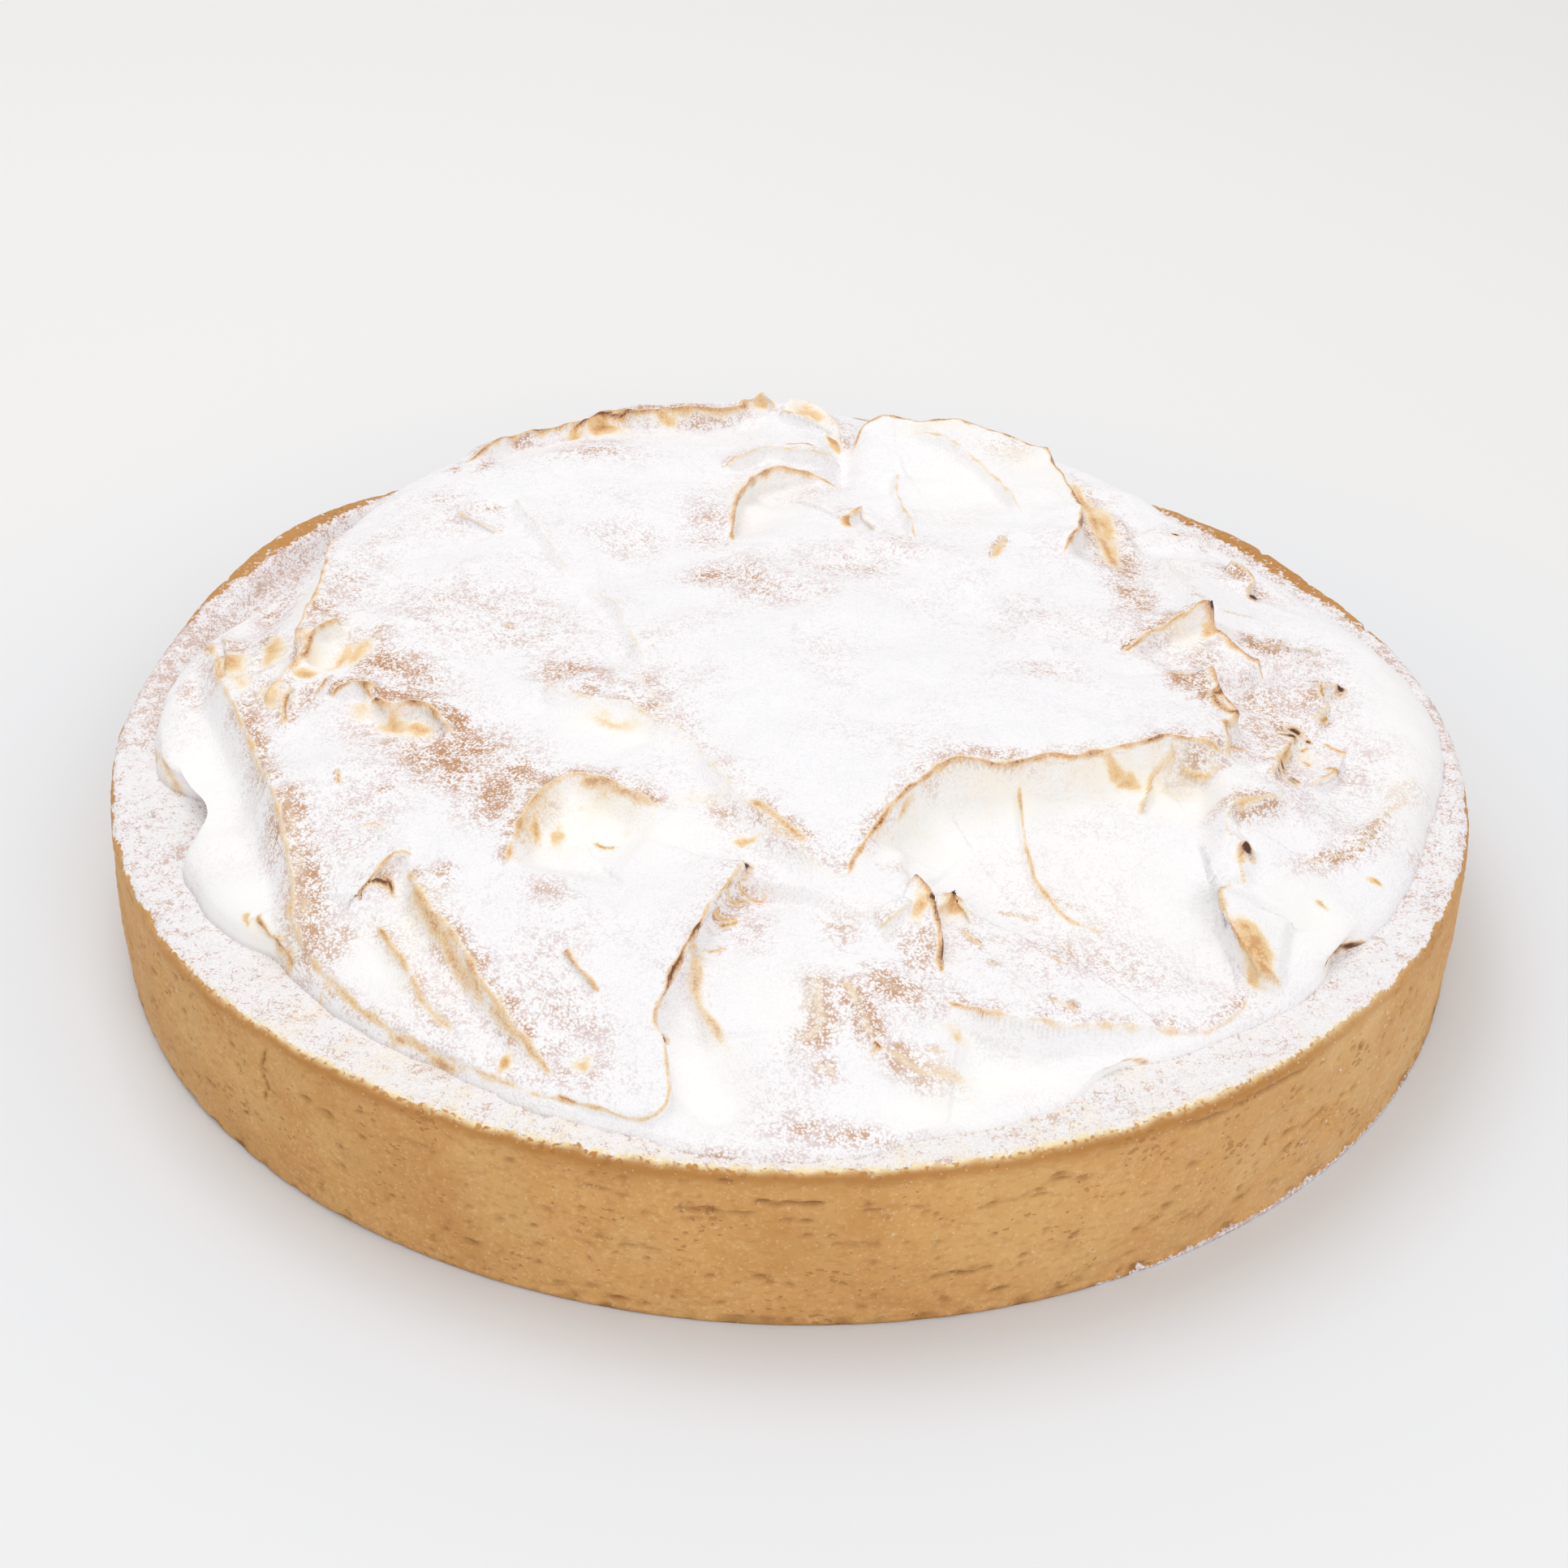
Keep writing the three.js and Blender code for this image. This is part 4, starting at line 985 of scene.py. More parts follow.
# marks that the flame left, and three painted shadows in the gaps under the edge of the spread: points, half
# width, how golden, how toasted under the sugar, how burnt
STROKES = [
    ([(-31.6, -41), (-28, -42.6), (-24, -45.2), (-19.6, -46.6)], 0.9, 0.44, 0, 0),
    ([(-39.9, -58), (-38.4, -50), (-36, -43.6)], 1.4, 0.1, 0.9, 0),
    ([(-28.4, -51.4), (-26.6, -52.4), (-25, -52.4)], 0.5, 0.62, 0.8, 0),
    ([(-6, -47), (-3.4, -49.6), (-1, -52), (1.2, -54.4), (3, -56.4)], 1.2, 0.4, 0.95, 0),
    ([(-7.2, -61), (-5, -62.2), (-3, -62.8)], 0.5, 0.55, 0.7, 0.1),
    ([(-9, -69.8), (-6.6, -68.4)], 0.5, 0.75, 0.5, 0.2),
    ([(-13.5, -77.4), (-11.8, -74.8)], 0.4, 0.5, 0.5, 0),
    ([(-10.8, -75.4), (-8.4, -73.4)], 0.45, 0.42, 0.6, 0),
    ([(-17.6, -86.8), (-16.8, -88), (-15.8, -88.6)], 0.4, 0.5, 0, 0.1),
    ([(-11.2, -75.4), (-11.9, -79), (-12, -82.6), (-11.2, -85), (-9.8, -87.2), (-7.2, -89.6)],
     1.3, 0.4, 0.2, 0),
    ([(-57.8, -68), (-55.9, -71.6), (-53.6, -75), (-51.6, -78.8)], 0.7, 0.4, 0.8, 0),
    ([(-52, -78), (-49.2, -82.6), (-46.8, -84.9), (-44, -87)], 0.8, 0.3, 0.6, 0),
    ([(-53.6, -63.4), (-50.6, -69.4), (-46.8, -75.6), (-43.4, -81), (-40, -85.4)], 1.2, 0.38, 0.6, 0),
    ([(-40.4, -84.8), (-37.2, -88.6), (-34, -91.6), (-30.4, -95.4)], 0.6, 0.4, 0.7, 0),
    ([(-88, -13), (-84, -22), (-79.6, -33.4), (-76, -42)], 1.3, 0, 0.7, 0),
    ([(-76, -40), (-71.6, -53), (-69, -62.6), (-66.4, -70)], 2.1, 0.12, 0.9, 0),
    ([(-103.4, 19.3), (-99, 12), (-95.8, 4.9)], 0.7, 0.5, 0.8, 0),
    ([(-79, -17.4), (-79.2, -20.4), (-78.4, -23)], 1.0, 0.5, 1.0, 0),
    ([(-64.8, -72.4), (-62.4, -71), (-62, -67.6)], 1.3, 0, 0.8, 0),
    ([(-65.3, -74.6), (-60, -79.6), (-55.4, -84)], 0.5, 0.4, 0.7, 0),
    ([(-54.9, -85), (-50, -88.6), (-45, -92), (-41.6, -93)], 0.4, 0.5, 0.4, 0),
    ([(-54.4, -86.6), (-50, -90.4), (-45.6, -92.6)], 0.4, 0.6, 0, 0.2),
    # painted shadow under the foot of the spread
    ([(-80.6, -64.4), (-78, -67.8), (-75.6, -72)], 0.8, 0.5, 0, 0),
    ([(-73, -72.6), (-70.6, -71.9)], 0.5, 0.45, 0.3, 0),
    ([(-29.8, -97.9), (-27, -99.2)], 0.35, 0.65, 0, 0),
    ([(-67.5, -39), (-66.9, -42.6)], 0.4, 0.5, 0.8, 0),
    ([(24.7, -67), (26.5, -69.2), (28, -70.8)], 0.5, 0.36, 0.9, 0),
    ([(27.8, -73.6), (29.6, -74.4)], 0.6, 0.3, 0.8, 0),
    ([(30, -59.4), (33, -59.6), (37, -60.4)], 0.4, 0.25, 0.8, 0),
    ([(38, -56.6), (41.2, -57.8), (45.2, -56.8)], 0.45, 0.1, 0.8, 0),
    ([(37.2, -70), (38.8, -71)], 0.4, 0.5, 0.6, 0),
    ([(36, -79.4), (41, -80.4)], 0.6, 0.24, 0.8, 0),
    ([(22.3, -82), (25, -82.4), (28, -83.2)], 0.4, 0.5, 0, 0),
    ([(4.4, -80), (4.6, -84), (4.9, -87.8), (2.1, -90.8)], 1.6, 0.18, 1.0, 0),
    ([(8, -80), (9.8, -83.6), (12.2, -90.3)], 1.3, 0.2, 1.0, 0),
    ([(12, -90.4), (13.4, -91.4)], 0.35, 0.8, 0.6, 0.2),
    ([(4.4, -93.6), (7.4, -94.6)], 1.1, 0.22, 0.8, 0),
    ([(18.9, -90.4), (22.3, -89.6)], 0.4, 0.2, 0.8, 0),
    ([(13.4, -90.6), (18.3, -93.1), (22, -92.8), (25.5, -91.5)], 1.3, 0.2, 1.0, 0),
    ([(12, -79), (15, -81.4), (19, -82.6)], 1.5, 0.12, 0.9, 0),
    ([(-17.4, -87.6), (-16, -82.6), (-13.9, -77.2), (-12.2, -72.4)], 0.4, 0.75, 0.4, 0.25),
    ([(-10.6, -67.2), (-8.4, -68.4), (-6.8, -67.4)], 0.6, 0.4, 0.9, 0),
    ([(-9.4, -63.8), (-7, -64.8), (-5.2, -63)], 0.5, 0.5, 0.9, 0.1),
    ([(20.2, -64.4), (21.4, -69.6), (21.6, -75.6)], 0.5, 0.9, 0.6, 0.3),
    ([(69.2, 9), (70.6, 5.6), (73, 3)], 1.3, 0.5, 0.6, 0),
    ([(65.8, -6.4), (68, -9), (67.2, -12), (66.4, -14.6)], 0.8, 0.8, 0.9, 0.22),
    ([(64.2, -5.9), (66.4, -6), (67.8, -8.2), (66.4, -12), (66, -15.6), (68.8, -18)], 0.6, 0.68, 0.8, 0.1),
    ([(71, 17), (77.4, 21.6)], 0.3, 0.34, 0.4, 0),
    ([(66.4, -21.6), (68, -22.6), (71, -21.4)], 0.45, 0.55, 0.6, 0),
    ([(66, -40), (69, -38.6), (73.4, -35.9)], 0.9, 0.34, 1.0, 0),
    ([(84.6, -12.6), (86.4, -13.8), (88.4, -14.4)], 0.5, 0.5, 0.7, 0),
    ([(85, 0.6), (86.6, 0)], 0.5, 0.7, 0.8, 0.1),
    ([(86, -2.4), (87.6, -2.6)], 0.45, 0.6, 0.8, 0.2),
    ([(85, -7.6), (86.4, -6.6)], 0.5, 0.7, 0.8, 0.1),
    ([(76.8, -14), (78.2, -15.4)], 0.5, 0.7, 0.9, 0.3),
    ([(80.8, -15.6), (82.2, -14.4)], 0.5, 0.6, 0.9, 0.3),
    ([(83.6, -20.4), (85.4, -21.4)], 0.55, 0.7, 0.9, 0.15),
    ([(77, -26.2), (78.6, -27.4)], 0.5, 0.75, 0.9, 0.35),
    ([(80.6, -18.6), (81.4, -20.2)], 0.4, 0.6, 0.9, 0.25),
    ([(82, -24), (84.8, -21.2)], 0.5, 0.46, 0.7, 0),
    ([(75.6, -24.4), (77, -20.4), (78.6, -16.4)], 1.0, 0.42, 1.0, 0),
    # painted shadows in the gaps where the edge of the spread stands off the pastry
    ([(78.4, -64.6), (80.4, -62), (83.2, -58.8), (87, -55.1)], 0.6, 0.6, 0, 0.4),
    ([(43, -87.2), (47.4, -86.2), (51.2, -85.2)], 0.7, 0.5, 0, 0.28),
    ([(97.1, -22.9), (91, -31), (85.6, -39.4), (75, -46.5)], 0.7, 0.16, 0.8, 0),
    ([(-28, 80.4), (-20.7, 81.2), (-14.6, 81.8), (-10.4, 84.4)], 0.8, 0.42, 0.8, 0),
    ([(-42.9, 76.6), (-40.8, 77.6), (-39, 79.2), (-35.8, 81.4), (-32.3, 81.4), (-30.4, 79.4)],
     0.5, 0.95, 0.9, 0.25),
    ([(-61, -64.2), (-58.4, -62.6), (-55.8, -64.2)], 0.4, 0.85, 0.6, 0.4),
    ([(65.6, -14), (66.7, -17.6), (69.4, -18.2)], 0.7, 0.8, 0.9, 0.2),
    ([(65.4, -41.6), (64.6, -45), (65, -48)], 0.3, 0.34, 0, 0),
    ([(99, -31.4), (102, -26)], 0.35, 0.4, 0, 0),
    ([(70, 62), (75, 60), (80, 57)], 0.4, 0.5, 0.5, 0),
    ([(50.4, 70), (52.4, 60), (53.4, 50), (54.6, 40), (55.6, 31)], 1.7, 0.42, 1.0, 0),
    ([(-2.8, 68.8), (-0.2, 69.9), (3, 69.8)], 0.6, 0.66, 0, 0.1),
    ([(33.2, 27.4), (34.2, 33), (36.3, 37.4)], 0.6, 0.3, 0.8, 0),
    ([(-95.5, 6), (-93.4, -2), (-91.4, -9)], 0.6, 0.4, 0.8, 0),
]
# spots that caught and burnt: place, radius, strength
BURNT = [
    (-6.2, -59.2, 0.9, 0.9),
    (-3.2, -61.8, 0.5, 0.33),
    (-15.9, -88.6, 0.5, 1.0),
    (-30.7, -44.6, 0.5, 0.28),
    (-23.6, -49.2, 0.7, 0.25),
    (-38.6, -85.4, 0.8, 0.28),
    (-37.9, -93.4, 0.5, 0.33),
    (-28.6, -80.4, 0.6, 0.44),
    (-72.6, -67.4, 0.9, 0.6),
    (-47, -91.8, 0.7, 0.39),
    (-78.4, -5.2, 0.9, 0.44),
    (-65.8, -18.4, 0.8, 0.5),
    (-60.6, -23, 0.5, 0.33),
    (-61, -64.2, 0.5, 0.39),
    (-46.6, 2.2, 0.6, 0.28),
    (17.9, -62.3, 0.7, 0.55),
    (20.1, -65, 0.7, 0.8),
    (23.8, -60.4, 1.1, 1.0),
    (35.4, -50, 0.5, 0.28),
    (38.6, -71, 0.5, 0.28),
    (67.2, -49, 0.95, 1.0),
    (68.3, 12.6, 1.05, 1.0),
    (69.3, -12, 0.6, 0.7),
    (80.2, -11, 1.1, 0.9),
    (78.6, -14.6, 0.7, 0.8),
    (82.2, -12.6, 0.6, 0.8),
    (76.6, -22.4, 0.6, 0.8),
    (79, 30.4, 0.9, 1.0),
    (68, 52.4, 0.7, 0.9),
    (89.4, 1.6, 0.8, 1.0),
    (78.5, 16.4, 0.5, 0.33),
    (86, -4.8, 0.6, 0.28),
    (75.5, -25.2, 0.8, 0.9),
    (77.3, -27.4, 1, 0.5),
    (74.2, -32.4, 0.6, 0.28),
    (83.2, -58.2, 0.6, 0.39),
    (60, -31.2, 0.5, 0.28),
    (45.6, 70.6, 0.6, 0.33),
    (6.6, 78, 0.8, 0.33),
    (-32.8, 82.4, 0.8, 0.33),
    (-52, 34, 0.6, 0.28),
    (12.2, -91.4, 0.5, 0.39),
]
# smooth meringue that the sugar has slid off: centre, half widths, turn in degrees, strength
SMOOTH = [
    (-90, -34, 6, 22, 20, 1.0),
    (-78, -62, 5, 12, 35, 1.0),
    (-104, 0, 3, 12, 10, 0.8),
    (-81.6, -8, 1.6, 12, 0, 0.8),
    (-75, -8, 4, 4, 0, 0.9),
    (-10, -95, 5, 7, 15, 1.0),
    (30, -91, 12, 4, 8, 1.0),
    (20, -98, 8, 3, 5, 0.8),
    (22, -50, 6, 9, -15, 0.9),
    (40, -55, 20, 12, 5, 0.55),
    (-30, -50, 8, 7, 0, 0.9),
    (32, 60, 15, 16, 0, 0.75),
    (-4, 50, 8, 11, 0, 0.65),
    (-73.6, -9.5, 3, 5, -20, 1.0),
    (-66.8, -22, 2.4, 1.6, 0, 0.9),
    (-60, -26, 5, 2.2, -30, 1.0),
    (-89.6, -6, 2.4, 6, 20, 0.6),
    (-84.5, 1, 1.3, 5, 5, 0.6),
    (53, -34.4, 12, 3.0, 5, 1.0),
    (34, -40, 14, 3, 15, 0.8),
    (60, -36, 7, 5, 0, 0.9),
    (76, -57, 8, 7, 40, 1.0),
    (100, 0, 5, 22, 0, 0.8),
    (96, -24, 5, 10, -20, 0.7),
    (-18, -52, 9, 5, 0, 0.8),
    (-34, -56, 5, 6, 0, 0.6),
    (-28, -28, 9, 4, -20, 0.8),
    (-56, -76, 5, 10, 40, 0.7),
    (-52, -68, 4, 7, 30, 0.7),
    (-73, -3, 4, 6, 0, 0.7),
    (64, 6, 4, 5, 0, 0.7),
    (-6, 48, 4, 9, 0, 0.7),
    (42, 62, 6, 14, 0, 0.7),
    (66, 33, 3, 9, 0, 0.6),
    (0, -84, 6, 6, 0, 0.6),
    (10, -67, 5, 4, 0, 0.5),
    (16, 99, 13, 2.6, -8, 0.9),
    (-40, 92, 12, 2.6, 28, 0.8),
]

# a square grid, bent into a round one
steps = np.linspace(-1, 1, MERINGUE_GRID + 1)
a, b = np.meshgrid(steps, steps)
sideways = np.abs(a) > np.abs(b)
outer = np.where(sideways, a, b)
ratio = np.where(sideways, b, a) / np.where(outer == 0, 1, outer)
turn = np.where(sideways, np.pi / 4 * ratio, np.pi / 2 - np.pi / 4 * ratio)
u, v = outer * np.cos(turn), outer * np.sin(turn)
share_out = np.minimum(np.hypot(u, v), 1).ravel()
azimuth = np.arctan2(v, u).ravel()
edge_radius = MERINGUE_RADIUS + swells(azimuth, EDGE_SWELLS) + 0.5 * rough(azimuth * 14, 0, 61)
x = share_out * edge_radius * np.cos(azimuth)
y = share_out * edge_radius * np.sin(azimuth)

CHAIN_STEP = 1.2


def smooth_run(points):
    """A smooth chain through the given points, with a point about every CHAIN_STEP."""
    given = np.array([points[0], *points, points[-1]], dtype=float)
    given[0] = 2 * given[1] - given[2]
    given[-1] = 2 * given[-2] - given[-3]
    chain = []
    for p0, p1, p2, p3 in zip(given[:-3], given[1:-2], given[2:-1], given[3:]):
        slope, bow, twist = p2 - p0, 2 * p0 - 5 * p1 + 4 * p2 - p3, 3 * p1 - p0 - 3 * p2 + p3
        count = max(2, int(np.hypot(*(p2 - p1)) / CHAIN_STEP))
        for t in np.arange(count) / count:
            chain.append(0.5 * (2 * p1 + slope * t + bow * t * t + twist * t ** 3))
    chain.append(given[-2])
    return np.array(chain)


def points_near(chain, reach):
    """Which points of the grid lie within reach of the box round a chain."""
    low, high = np.min(chain, axis=0) - reach, np.max(chain, axis=0) + reach
    return np.nonzero((x > low[0]) & (x < high[0]) & (y > low[1]) & (y < high[1]))[0]


chains = [smooth_run(points) for points, *_ in folds]

# the grid is drawn in towards the crests of the higher folds, so that each lip has enough points
PULL_REACH = 2.6
PULLED_HEIGHT = 1.8
pull_x, pull_y = np.zeros_like(x), np.zeros_like(y)
pull_nearest = np.full(x.shape, PULL_REACH)
for chain, (_, rise, drop, *_) in zip(chains, folds):
    if rise + drop < PULLED_HEIGHT:
        continue
    near = points_near(chain, PULL_REACH)
    near = near[share_out[near] < 0.985]
    distance, share, side_x, side_y, _ = nearest_on(chain, x[near], y[near])
    caught = (np.abs(distance) < pull_nearest[near]) & (share > 0.001) & (share < 0.999)
    near, distance, side_x, side_y = near[caught], distance[caught], side_x[caught], side_y[caught]
    drawn = np.sign(distance) * PULL_REACH * (np.abs(distance) / PULL_REACH) ** 1.5
    pull_x[near] = (drawn - distance) * side_x
    pull_y[near] = (drawn - distance) * side_y
    pull_nearest[near] = np.abs(distance)
x, y = x + pull_x, y + pull_y


def oval(px, py, cx, cy, half_long, half_wide, degrees):
    """1 at a centre, falling off over half widths along and across a turned line."""
    c, s = math.cos(math.radians(degrees)), math.sin(math.radians(degrees))
    along, across = (px - cx) * c + (py - cy) * s, (py - cy) * c - (px - cx) * s
    return np.exp(-((along / half_long) ** 2 + (across / half_wide) ** 2))


# the heap and its mounds, with the small unevenness that a knife leaves: size, height, seed
softness = 6 + swells(azimuth, [(95, 50, 8), (-80, 45, -1.6)])
blunt = 0.75 + swells(azimuth, [(-75, 60, 0.5)])
heap = MERINGUE_DEPTH * np.maximum(0, 1 - share_out ** softness) ** blunt
thin_edge = np.clip(swells(azimuth, [(-75, 42, 1), (-10, 30, 0.9)]), 0, 1)
edge_thickness = EDGE_THICKNESS - FRONT_THINNING * thin_edge
inside = 1 - ease(share_out, 0.9, 1)
relief = sum(height * oval(x, y, *place) for *place, height in MOUNDS)
for size, height, seed in ((24, 0.9, 71), (12, 0.55, 72), (6, 0.25, 73), (3, 0.10, 74)):
    relief += height * rough(x / size, y / size, seed)

FOLD_SCALE = 1.25
gold_and_shade, toast, burnt_and_shadow, slid = (np.zeros_like(x) for _ in range(4))
lean_x, lean_y = np.zeros_like(x), np.zeros_like(y)
waver = 0.25 * rough(x / 4.2, y / 4.2, 75)
ragged = 0.30 * rough(x / 2.6, y / 2.6, 75) + 0.22 * rough(x / 1.1, y / 1.1, 76)
for number, (chain, (_, rise, drop, high_run, low_run, look)) in enumerate(zip(chains, folds)):
    near = points_near(chain, 3.6 * max(high_run, low_run, 4))
    straight, share, side_x, side_y, length = nearest_on(chain, x[near], y[near])
    run = share * length
    torn = straight + ragged[near]
    distance = straight + waver[near]
    start, end = look["fade"]
    ends = ease(share, 0, start) * (1 - ease(share, 1 - end, 1))
    fullness = ends * (1 + 0.3 * rough(run / 7, number, 77))
    beyond = np.maximum(distance, 0)
    sunk = (1 - np.exp(-beyond / look["wall"])) * np.exp(-beyond / low_run)
    high_side = rise * np.exp(np.minimum(distance, 0) / high_run)
    low_side = (1 - ease(distance, 0, look["step"])) * rise - FOLD_SCALE * drop * sunk
    relief[near] += FOLD_SCALE * fullness * np.where(distance <= 0, high_side, low_side)
    # toasting: a line along the lip, its two faces, and the burnt parts of it; the face below the lip also
    # carries painted shade
    tips = ease(share, 0, 0.06) * (1 - ease(share, 0.95, 1)) * 0.9 + 0.1
    shade = np.clip(0.9 + 0.7 * rough(run / 3.6, number, 78), 0.2, 1.3)
    half_width = look["wide"] * np.clip(1 + 0.9 * rough(run / 2.7, number, 84), 0.6, 2.0)
    lip = 0.86 * look["line"] * shade * tips * bell(distance + 0.25 * ragged[near] + 0.05, half_width)
    # the face below the lip: a golden glow of the toasting, deepened by painted shade under the lip
    face_glow_and_shade = look["under"] * shade * tips * ease(torn, -0.3, 0.3)
    face_glow_and_shade *= np.exp(-np.maximum(torn, 0) / look["under_width"])
    top = look["over"] * tips * shade * ease(-torn, -0.4, 0.4) * bell(np.minimum(torn, 0), look["over_width"])
    char = look["char"] * tips * np.clip(shade - 0.55, 0, 1) * 1.8 * bell(torn, look["wide"] * 1.1)
    raise_to(gold_and_shade, near, np.maximum(lip, face_glow_and_shade))
    raise_to(slid, near, np.clip(1.2 * lip, 0, 0.7))
    raise_to(toast, near, top)
    raise_to(burnt_and_shadow, near, char)
    # the lip hangs over, and the foot of the fall is tucked under it
    hung = bell(straight, 1.3) * (straight < 0.4)
    tucked = 0.7 * bell(straight - look["step"] - 0.5, 1.0) * (straight > 0.4)
    lean = look["lean"] * fullness * (hung - tucked)
    lean_x[near] += lean * side_x
    lean_y[near] += lean * side_y

for cx, cy, height, radius in PEAKS:
    gap = np.hypot(x - cx, y - cy)
    relief += 0.55 * height * np.exp(-((gap / (0.55 * radius)) ** 1.5))
# the flame's marks, and the painted shadows under the edge, drawn the same way
for number, (points, half_width, golden_and_shadow_part, toasted_part, burnt_and_shadow_part) in enumerate(STROKES):
    near = points_near(points, 3 * half_width + 1)
    distance, share, _, _, length = nearest_on(smooth_run(points), x[near], y[near])
    shade = np.clip(0.95 + 0.4 * rough(share * length / 4, number, 79), 0.4, 1.2)
    tips = 0.35 + 0.65 * ease(share, 0, 0.15) * (1 - ease(share, 0.85, 1))
    away = np.abs(distance + 0.6 * ragged[near]) / half_width
    band = shade * tips * (0.75 * bell(2.2 * away, 1) + 0.5 * bell(0.9 * away, 1))
    halo = tips * bell(distance + 1.4 * ragged[near], 1.7 * half_width)
    raise_to(gold_and_shade, near, 1.2 * golden_and_shadow_part * band)
    raise_to(toast, near, toasted_part * halo)
    raise_to(burnt_and_shadow, near, 1.6 * burnt_and_shadow_part * band)
    raise_to(slid, near, np.clip(1.3 * golden_and_shadow_part, 0, 0.8) * band)
    relief[near] += 0.3 * golden_and_shadow_part * band
for cx, cy, radius, strength in BURNT:
    gap = np.hypot(x - cx, y - cy) + 0.5 * ragged
    burnt_and_shadow = np.maximum(burnt_and_shadow, strength * (1 - ease(gap, 0.45 * radius, 1.15 * radius)))
    gold_and_shade = np.maximum(gold_and_shade, 0.85 * strength * (1 - ease(gap, 0.8 * radius, 2.1 * radius)))

astray_x = x + 0.8 * rough(x / 3.2, y / 3.2, 91) + 0.4 * rough(x / 1.2, y / 1.2, 92)
astray_y = y + 0.8 * rough(x / 3.2, y / 3.2, 93) + 0.4 * rough(x / 1.2, y / 1.2, 94)


def patches(rows):
    """Ragged patches from rows of centre, half widths, turn in degrees and strength."""
    total = np.zeros_like(x)
    for *place, strength in rows:
        total = np.maximum(total, strength * oval(astray_x, astray_y, *place))
    return total


bare_gold = patches(GOLDEN)
gold_and_shade = np.maximum(gold_and_shade, 1.25 * bare_gold)
cloudy = np.clip(1 + 0.45 * rough(x / 8, y / 8, 81) + 0.35 * rough(x / 2.6, y / 2.0, 82), 0.1, 2)
toast = 0.9 * np.maximum(toast, patches(TOASTED)) * cloudy + 0.09 + 0.15 * rough(x / 13, y / 13, 83)
smooth = np.maximum(np.maximum(patches(SMOOTH), np.clip(3.5 * bare_gold, 0, 1)), slid)

# the height, closed down at the edge, which bulges out and is tucked under
EDGE_CLOSES, EDGE_BULGES = 0.985, 0.955
edge_thickness += LOWEST_COVER
last = ease(share_out, EDGE_CLOSES, 1.0)
thickness = np.maximum(heap + inside * relief, 0) + edge_thickness * np.sqrt(np.clip(1 - last ** 2, 0, 1))
topping_z = MERINGUE_FOOT + np.where(share_out > 0.9999, 0, thickness)
bulge = 0.45 * bell(share_out - EDGE_BULGES, 0.022) - ease(share_out, 0.965, 1.0)
outwards = swells(azimuth, UNDERCUTS) * bulge
topping_x = x + inside * lean_x + outwards * np.cos(azimuth)
topping_y = y + inside * lean_y + outwards * np.sin(azimuth)
topping_points = np.stack([topping_x, topping_y, topping_z], axis=-1)
topping_points = np.vstack([topping_points, [(0, 0, MERINGUE_FOOT)]])

grid = np.arange((MERINGUE_GRID + 1) ** 2).reshape(MERINGUE_GRID + 1, -1)
quads = np.stack([grid[:-1, :-1], grid[:-1, 1:], grid[1:, 1:], grid[1:, :-1]], axis=-1).reshape(-1, 4)
border = np.concatenate([grid[0, :-1], grid[:-1, -1], grid[-1, :0:-1], grid[:0:-1, 0]])
under_fan = np.stack([np.full(len(border), len(topping_points) - 1), np.roll(border, -1), border], axis=-1)


def deepening(value, colour, stages):
    """A colour that goes deeper as the value rises, by stages of low value, high value, colour."""
    for low, high, deeper in stages:
        colour = mixed(between(value, low, high), colour, deeper)
    return colour


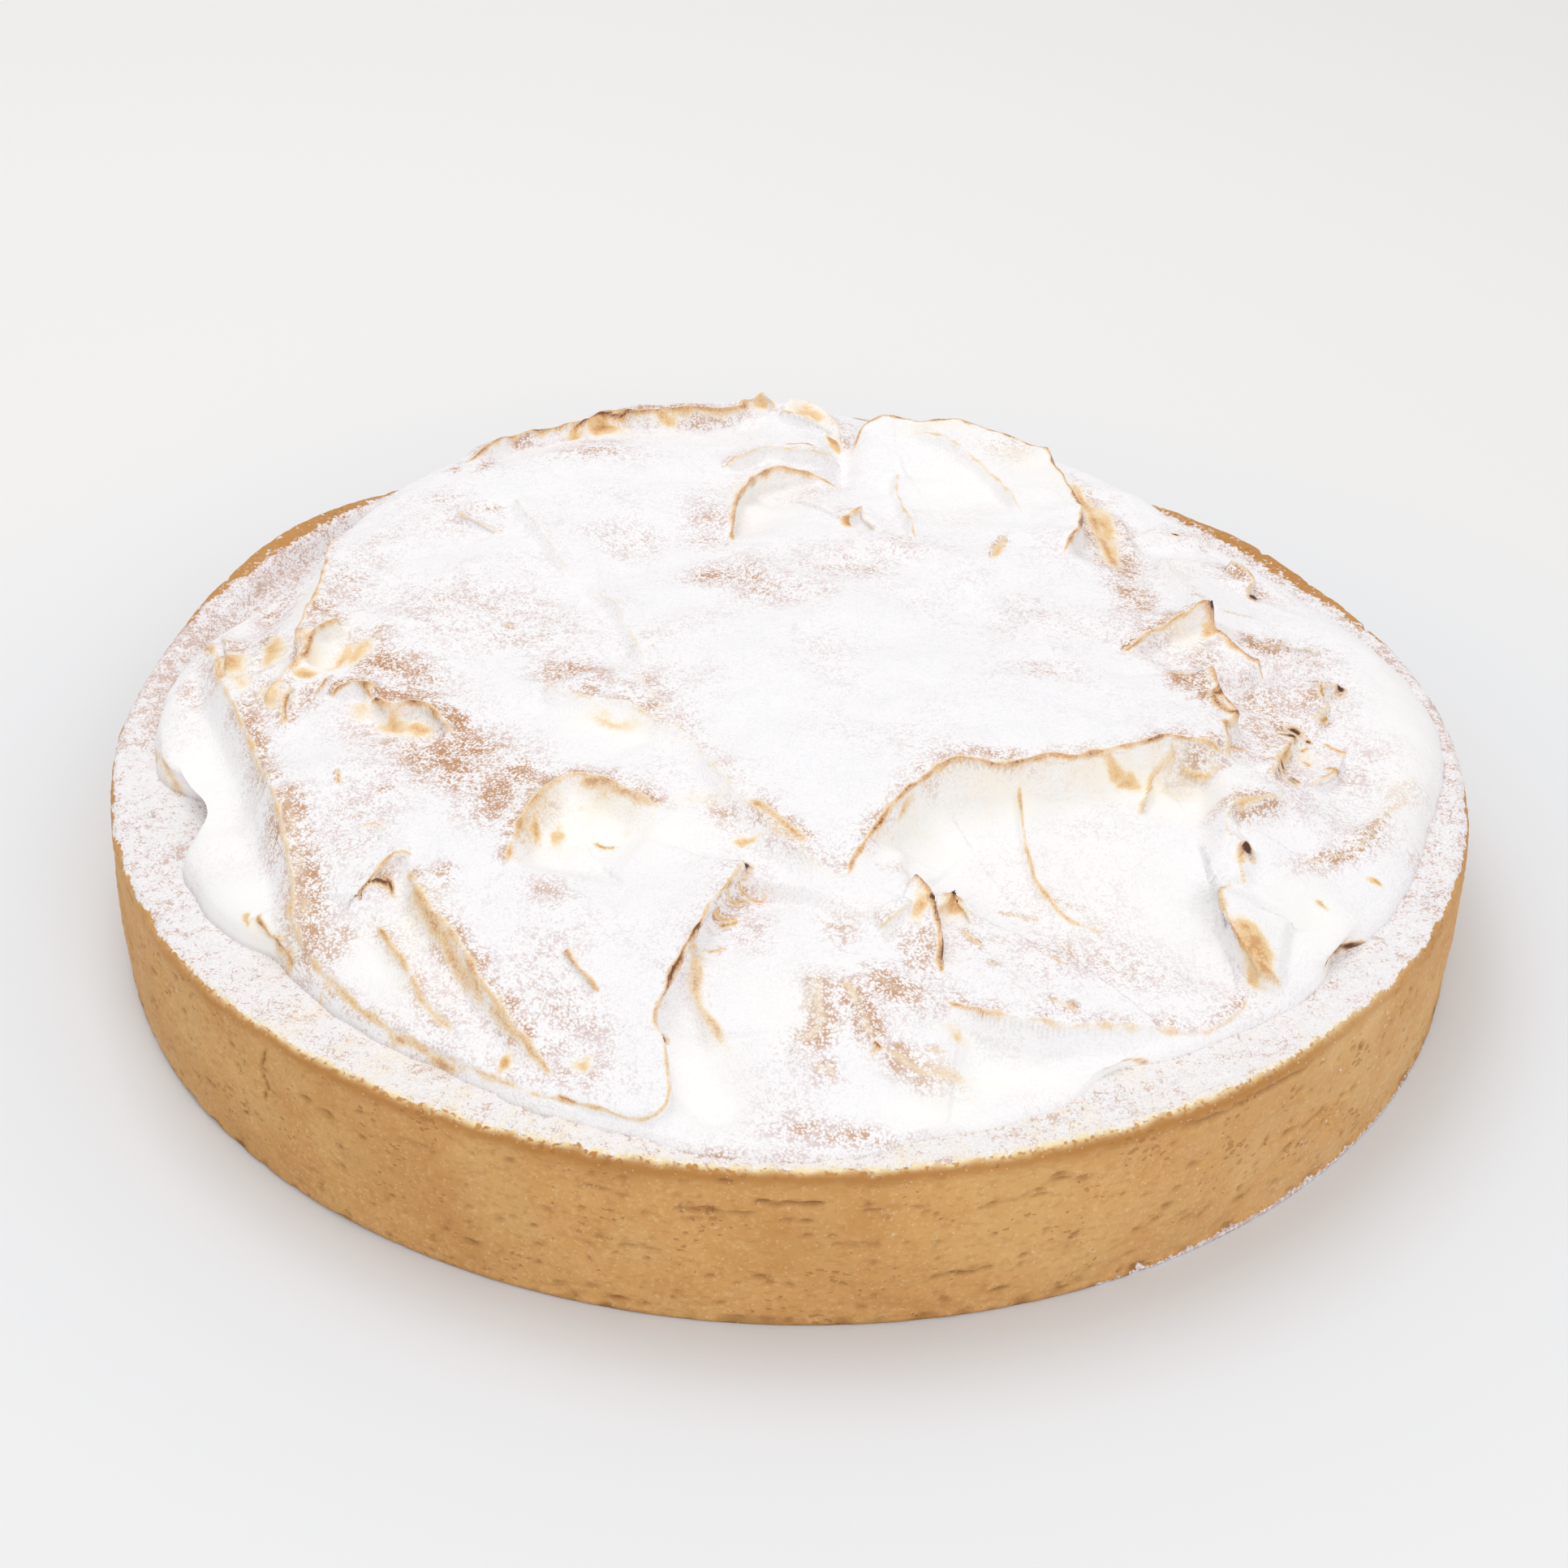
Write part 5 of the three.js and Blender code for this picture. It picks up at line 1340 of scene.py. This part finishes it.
def toasted_meringue():
    """Whipped white that goes gold, brown and black, bare in places and sugared in the rest; its gold and
    burnt values also carry painted shade under the lips and painted shadows in the gaps under its edge.
    """
    paint, shader, tree, place = new_paint("toasted_meringue")
    toasted = kept_value(tree, "toast")
    bare = kept_value(tree, "smooth")
    thinness = plus(0.33, times(toasted, 0.62))
    dust = add_node(tree, "ShaderNodeGroup", {"Bareness": thinness}, node_tree=sugar)
    speckle = times(plus(dust.outputs["Grain"], 0.08), -0.7)
    speckle = plus(speckle, minus(grain(place, 330, 3.0), 0.5))
    golden_and_shade = maths("MULTIPLY", kept_value(tree, "gold_and_shade"), plus(1.0, speckle), clamp=True)
    skin = deepening(golden_and_shade, (0.93, 0.92, 0.895, 1), [
        (0.02, 0.22, (0.93, 0.85, 0.70, 1)),
        (0.16, 0.42, (0.84, 0.60, 0.33, 1)),
        (0.40, 0.70, (0.66, 0.36, 0.15, 1)),
        (0.72, 0.98, (0.30, 0.13, 0.055, 1)),
    ])
    under_sugar = deepening(toasted, (0.87, 0.86, 0.88, 1), [
        (0.05, 0.35, (0.74, 0.62, 0.605, 1)),
        (0.3, 0.6, (0.64, 0.435, 0.325, 1)),
        (0.5, 0.85, (0.55, 0.295, 0.155, 1)),
    ])
    # the gold values also carry painted shade under the lips and painted shadows in the gaps under the edge
    skin_shows = between(golden_and_shade, 0.10, 0.36)
    under_sugar = mixed(times(skin_shows, 0.85), under_sugar, skin)
    cover = times(dust.outputs["Cover"], minus(1.0, times(skin_shows, 0.5)))
    colour = mixed(bare, mixed(cover, under_sugar, (0.93, 0.915, 0.925, 1)), skin)
    # burnt spots, and the painted shadows in the gaps under the edge
    colour = mixed(between(kept_value(tree, "burnt_and_shadow"), 0.25, 0.8), colour, (0.10, 0.040, 0.020, 1))
    height = times(dust.outputs["Grain"], minus(1.0, times(bare, 0.85)))
    bump = add_node(tree, "ShaderNodeBump", {"Strength": 0.5, "Distance": 0.00035, "Height": height})
    fill(shader, {"Base Color": colour, "Normal": bump.outputs[0]})
    fill(shader, {"Roughness": minus(0.85, times(bare, 0.3)), "Specular IOR Level": 0.3})
    return paint


topping = add_mesh("meringue_spread", topping_points, [quads, under_fan], toasted_meringue())
for name, values in (("toast", toast), ("gold_and_shade", gold_and_shade), ("burnt_and_shadow", burnt_and_shadow), ("smooth", smooth)):
    add_values(topping, name, np.append(np.clip(values, 0, 1), 0))
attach(topping, "root")
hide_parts("meringue_topping")
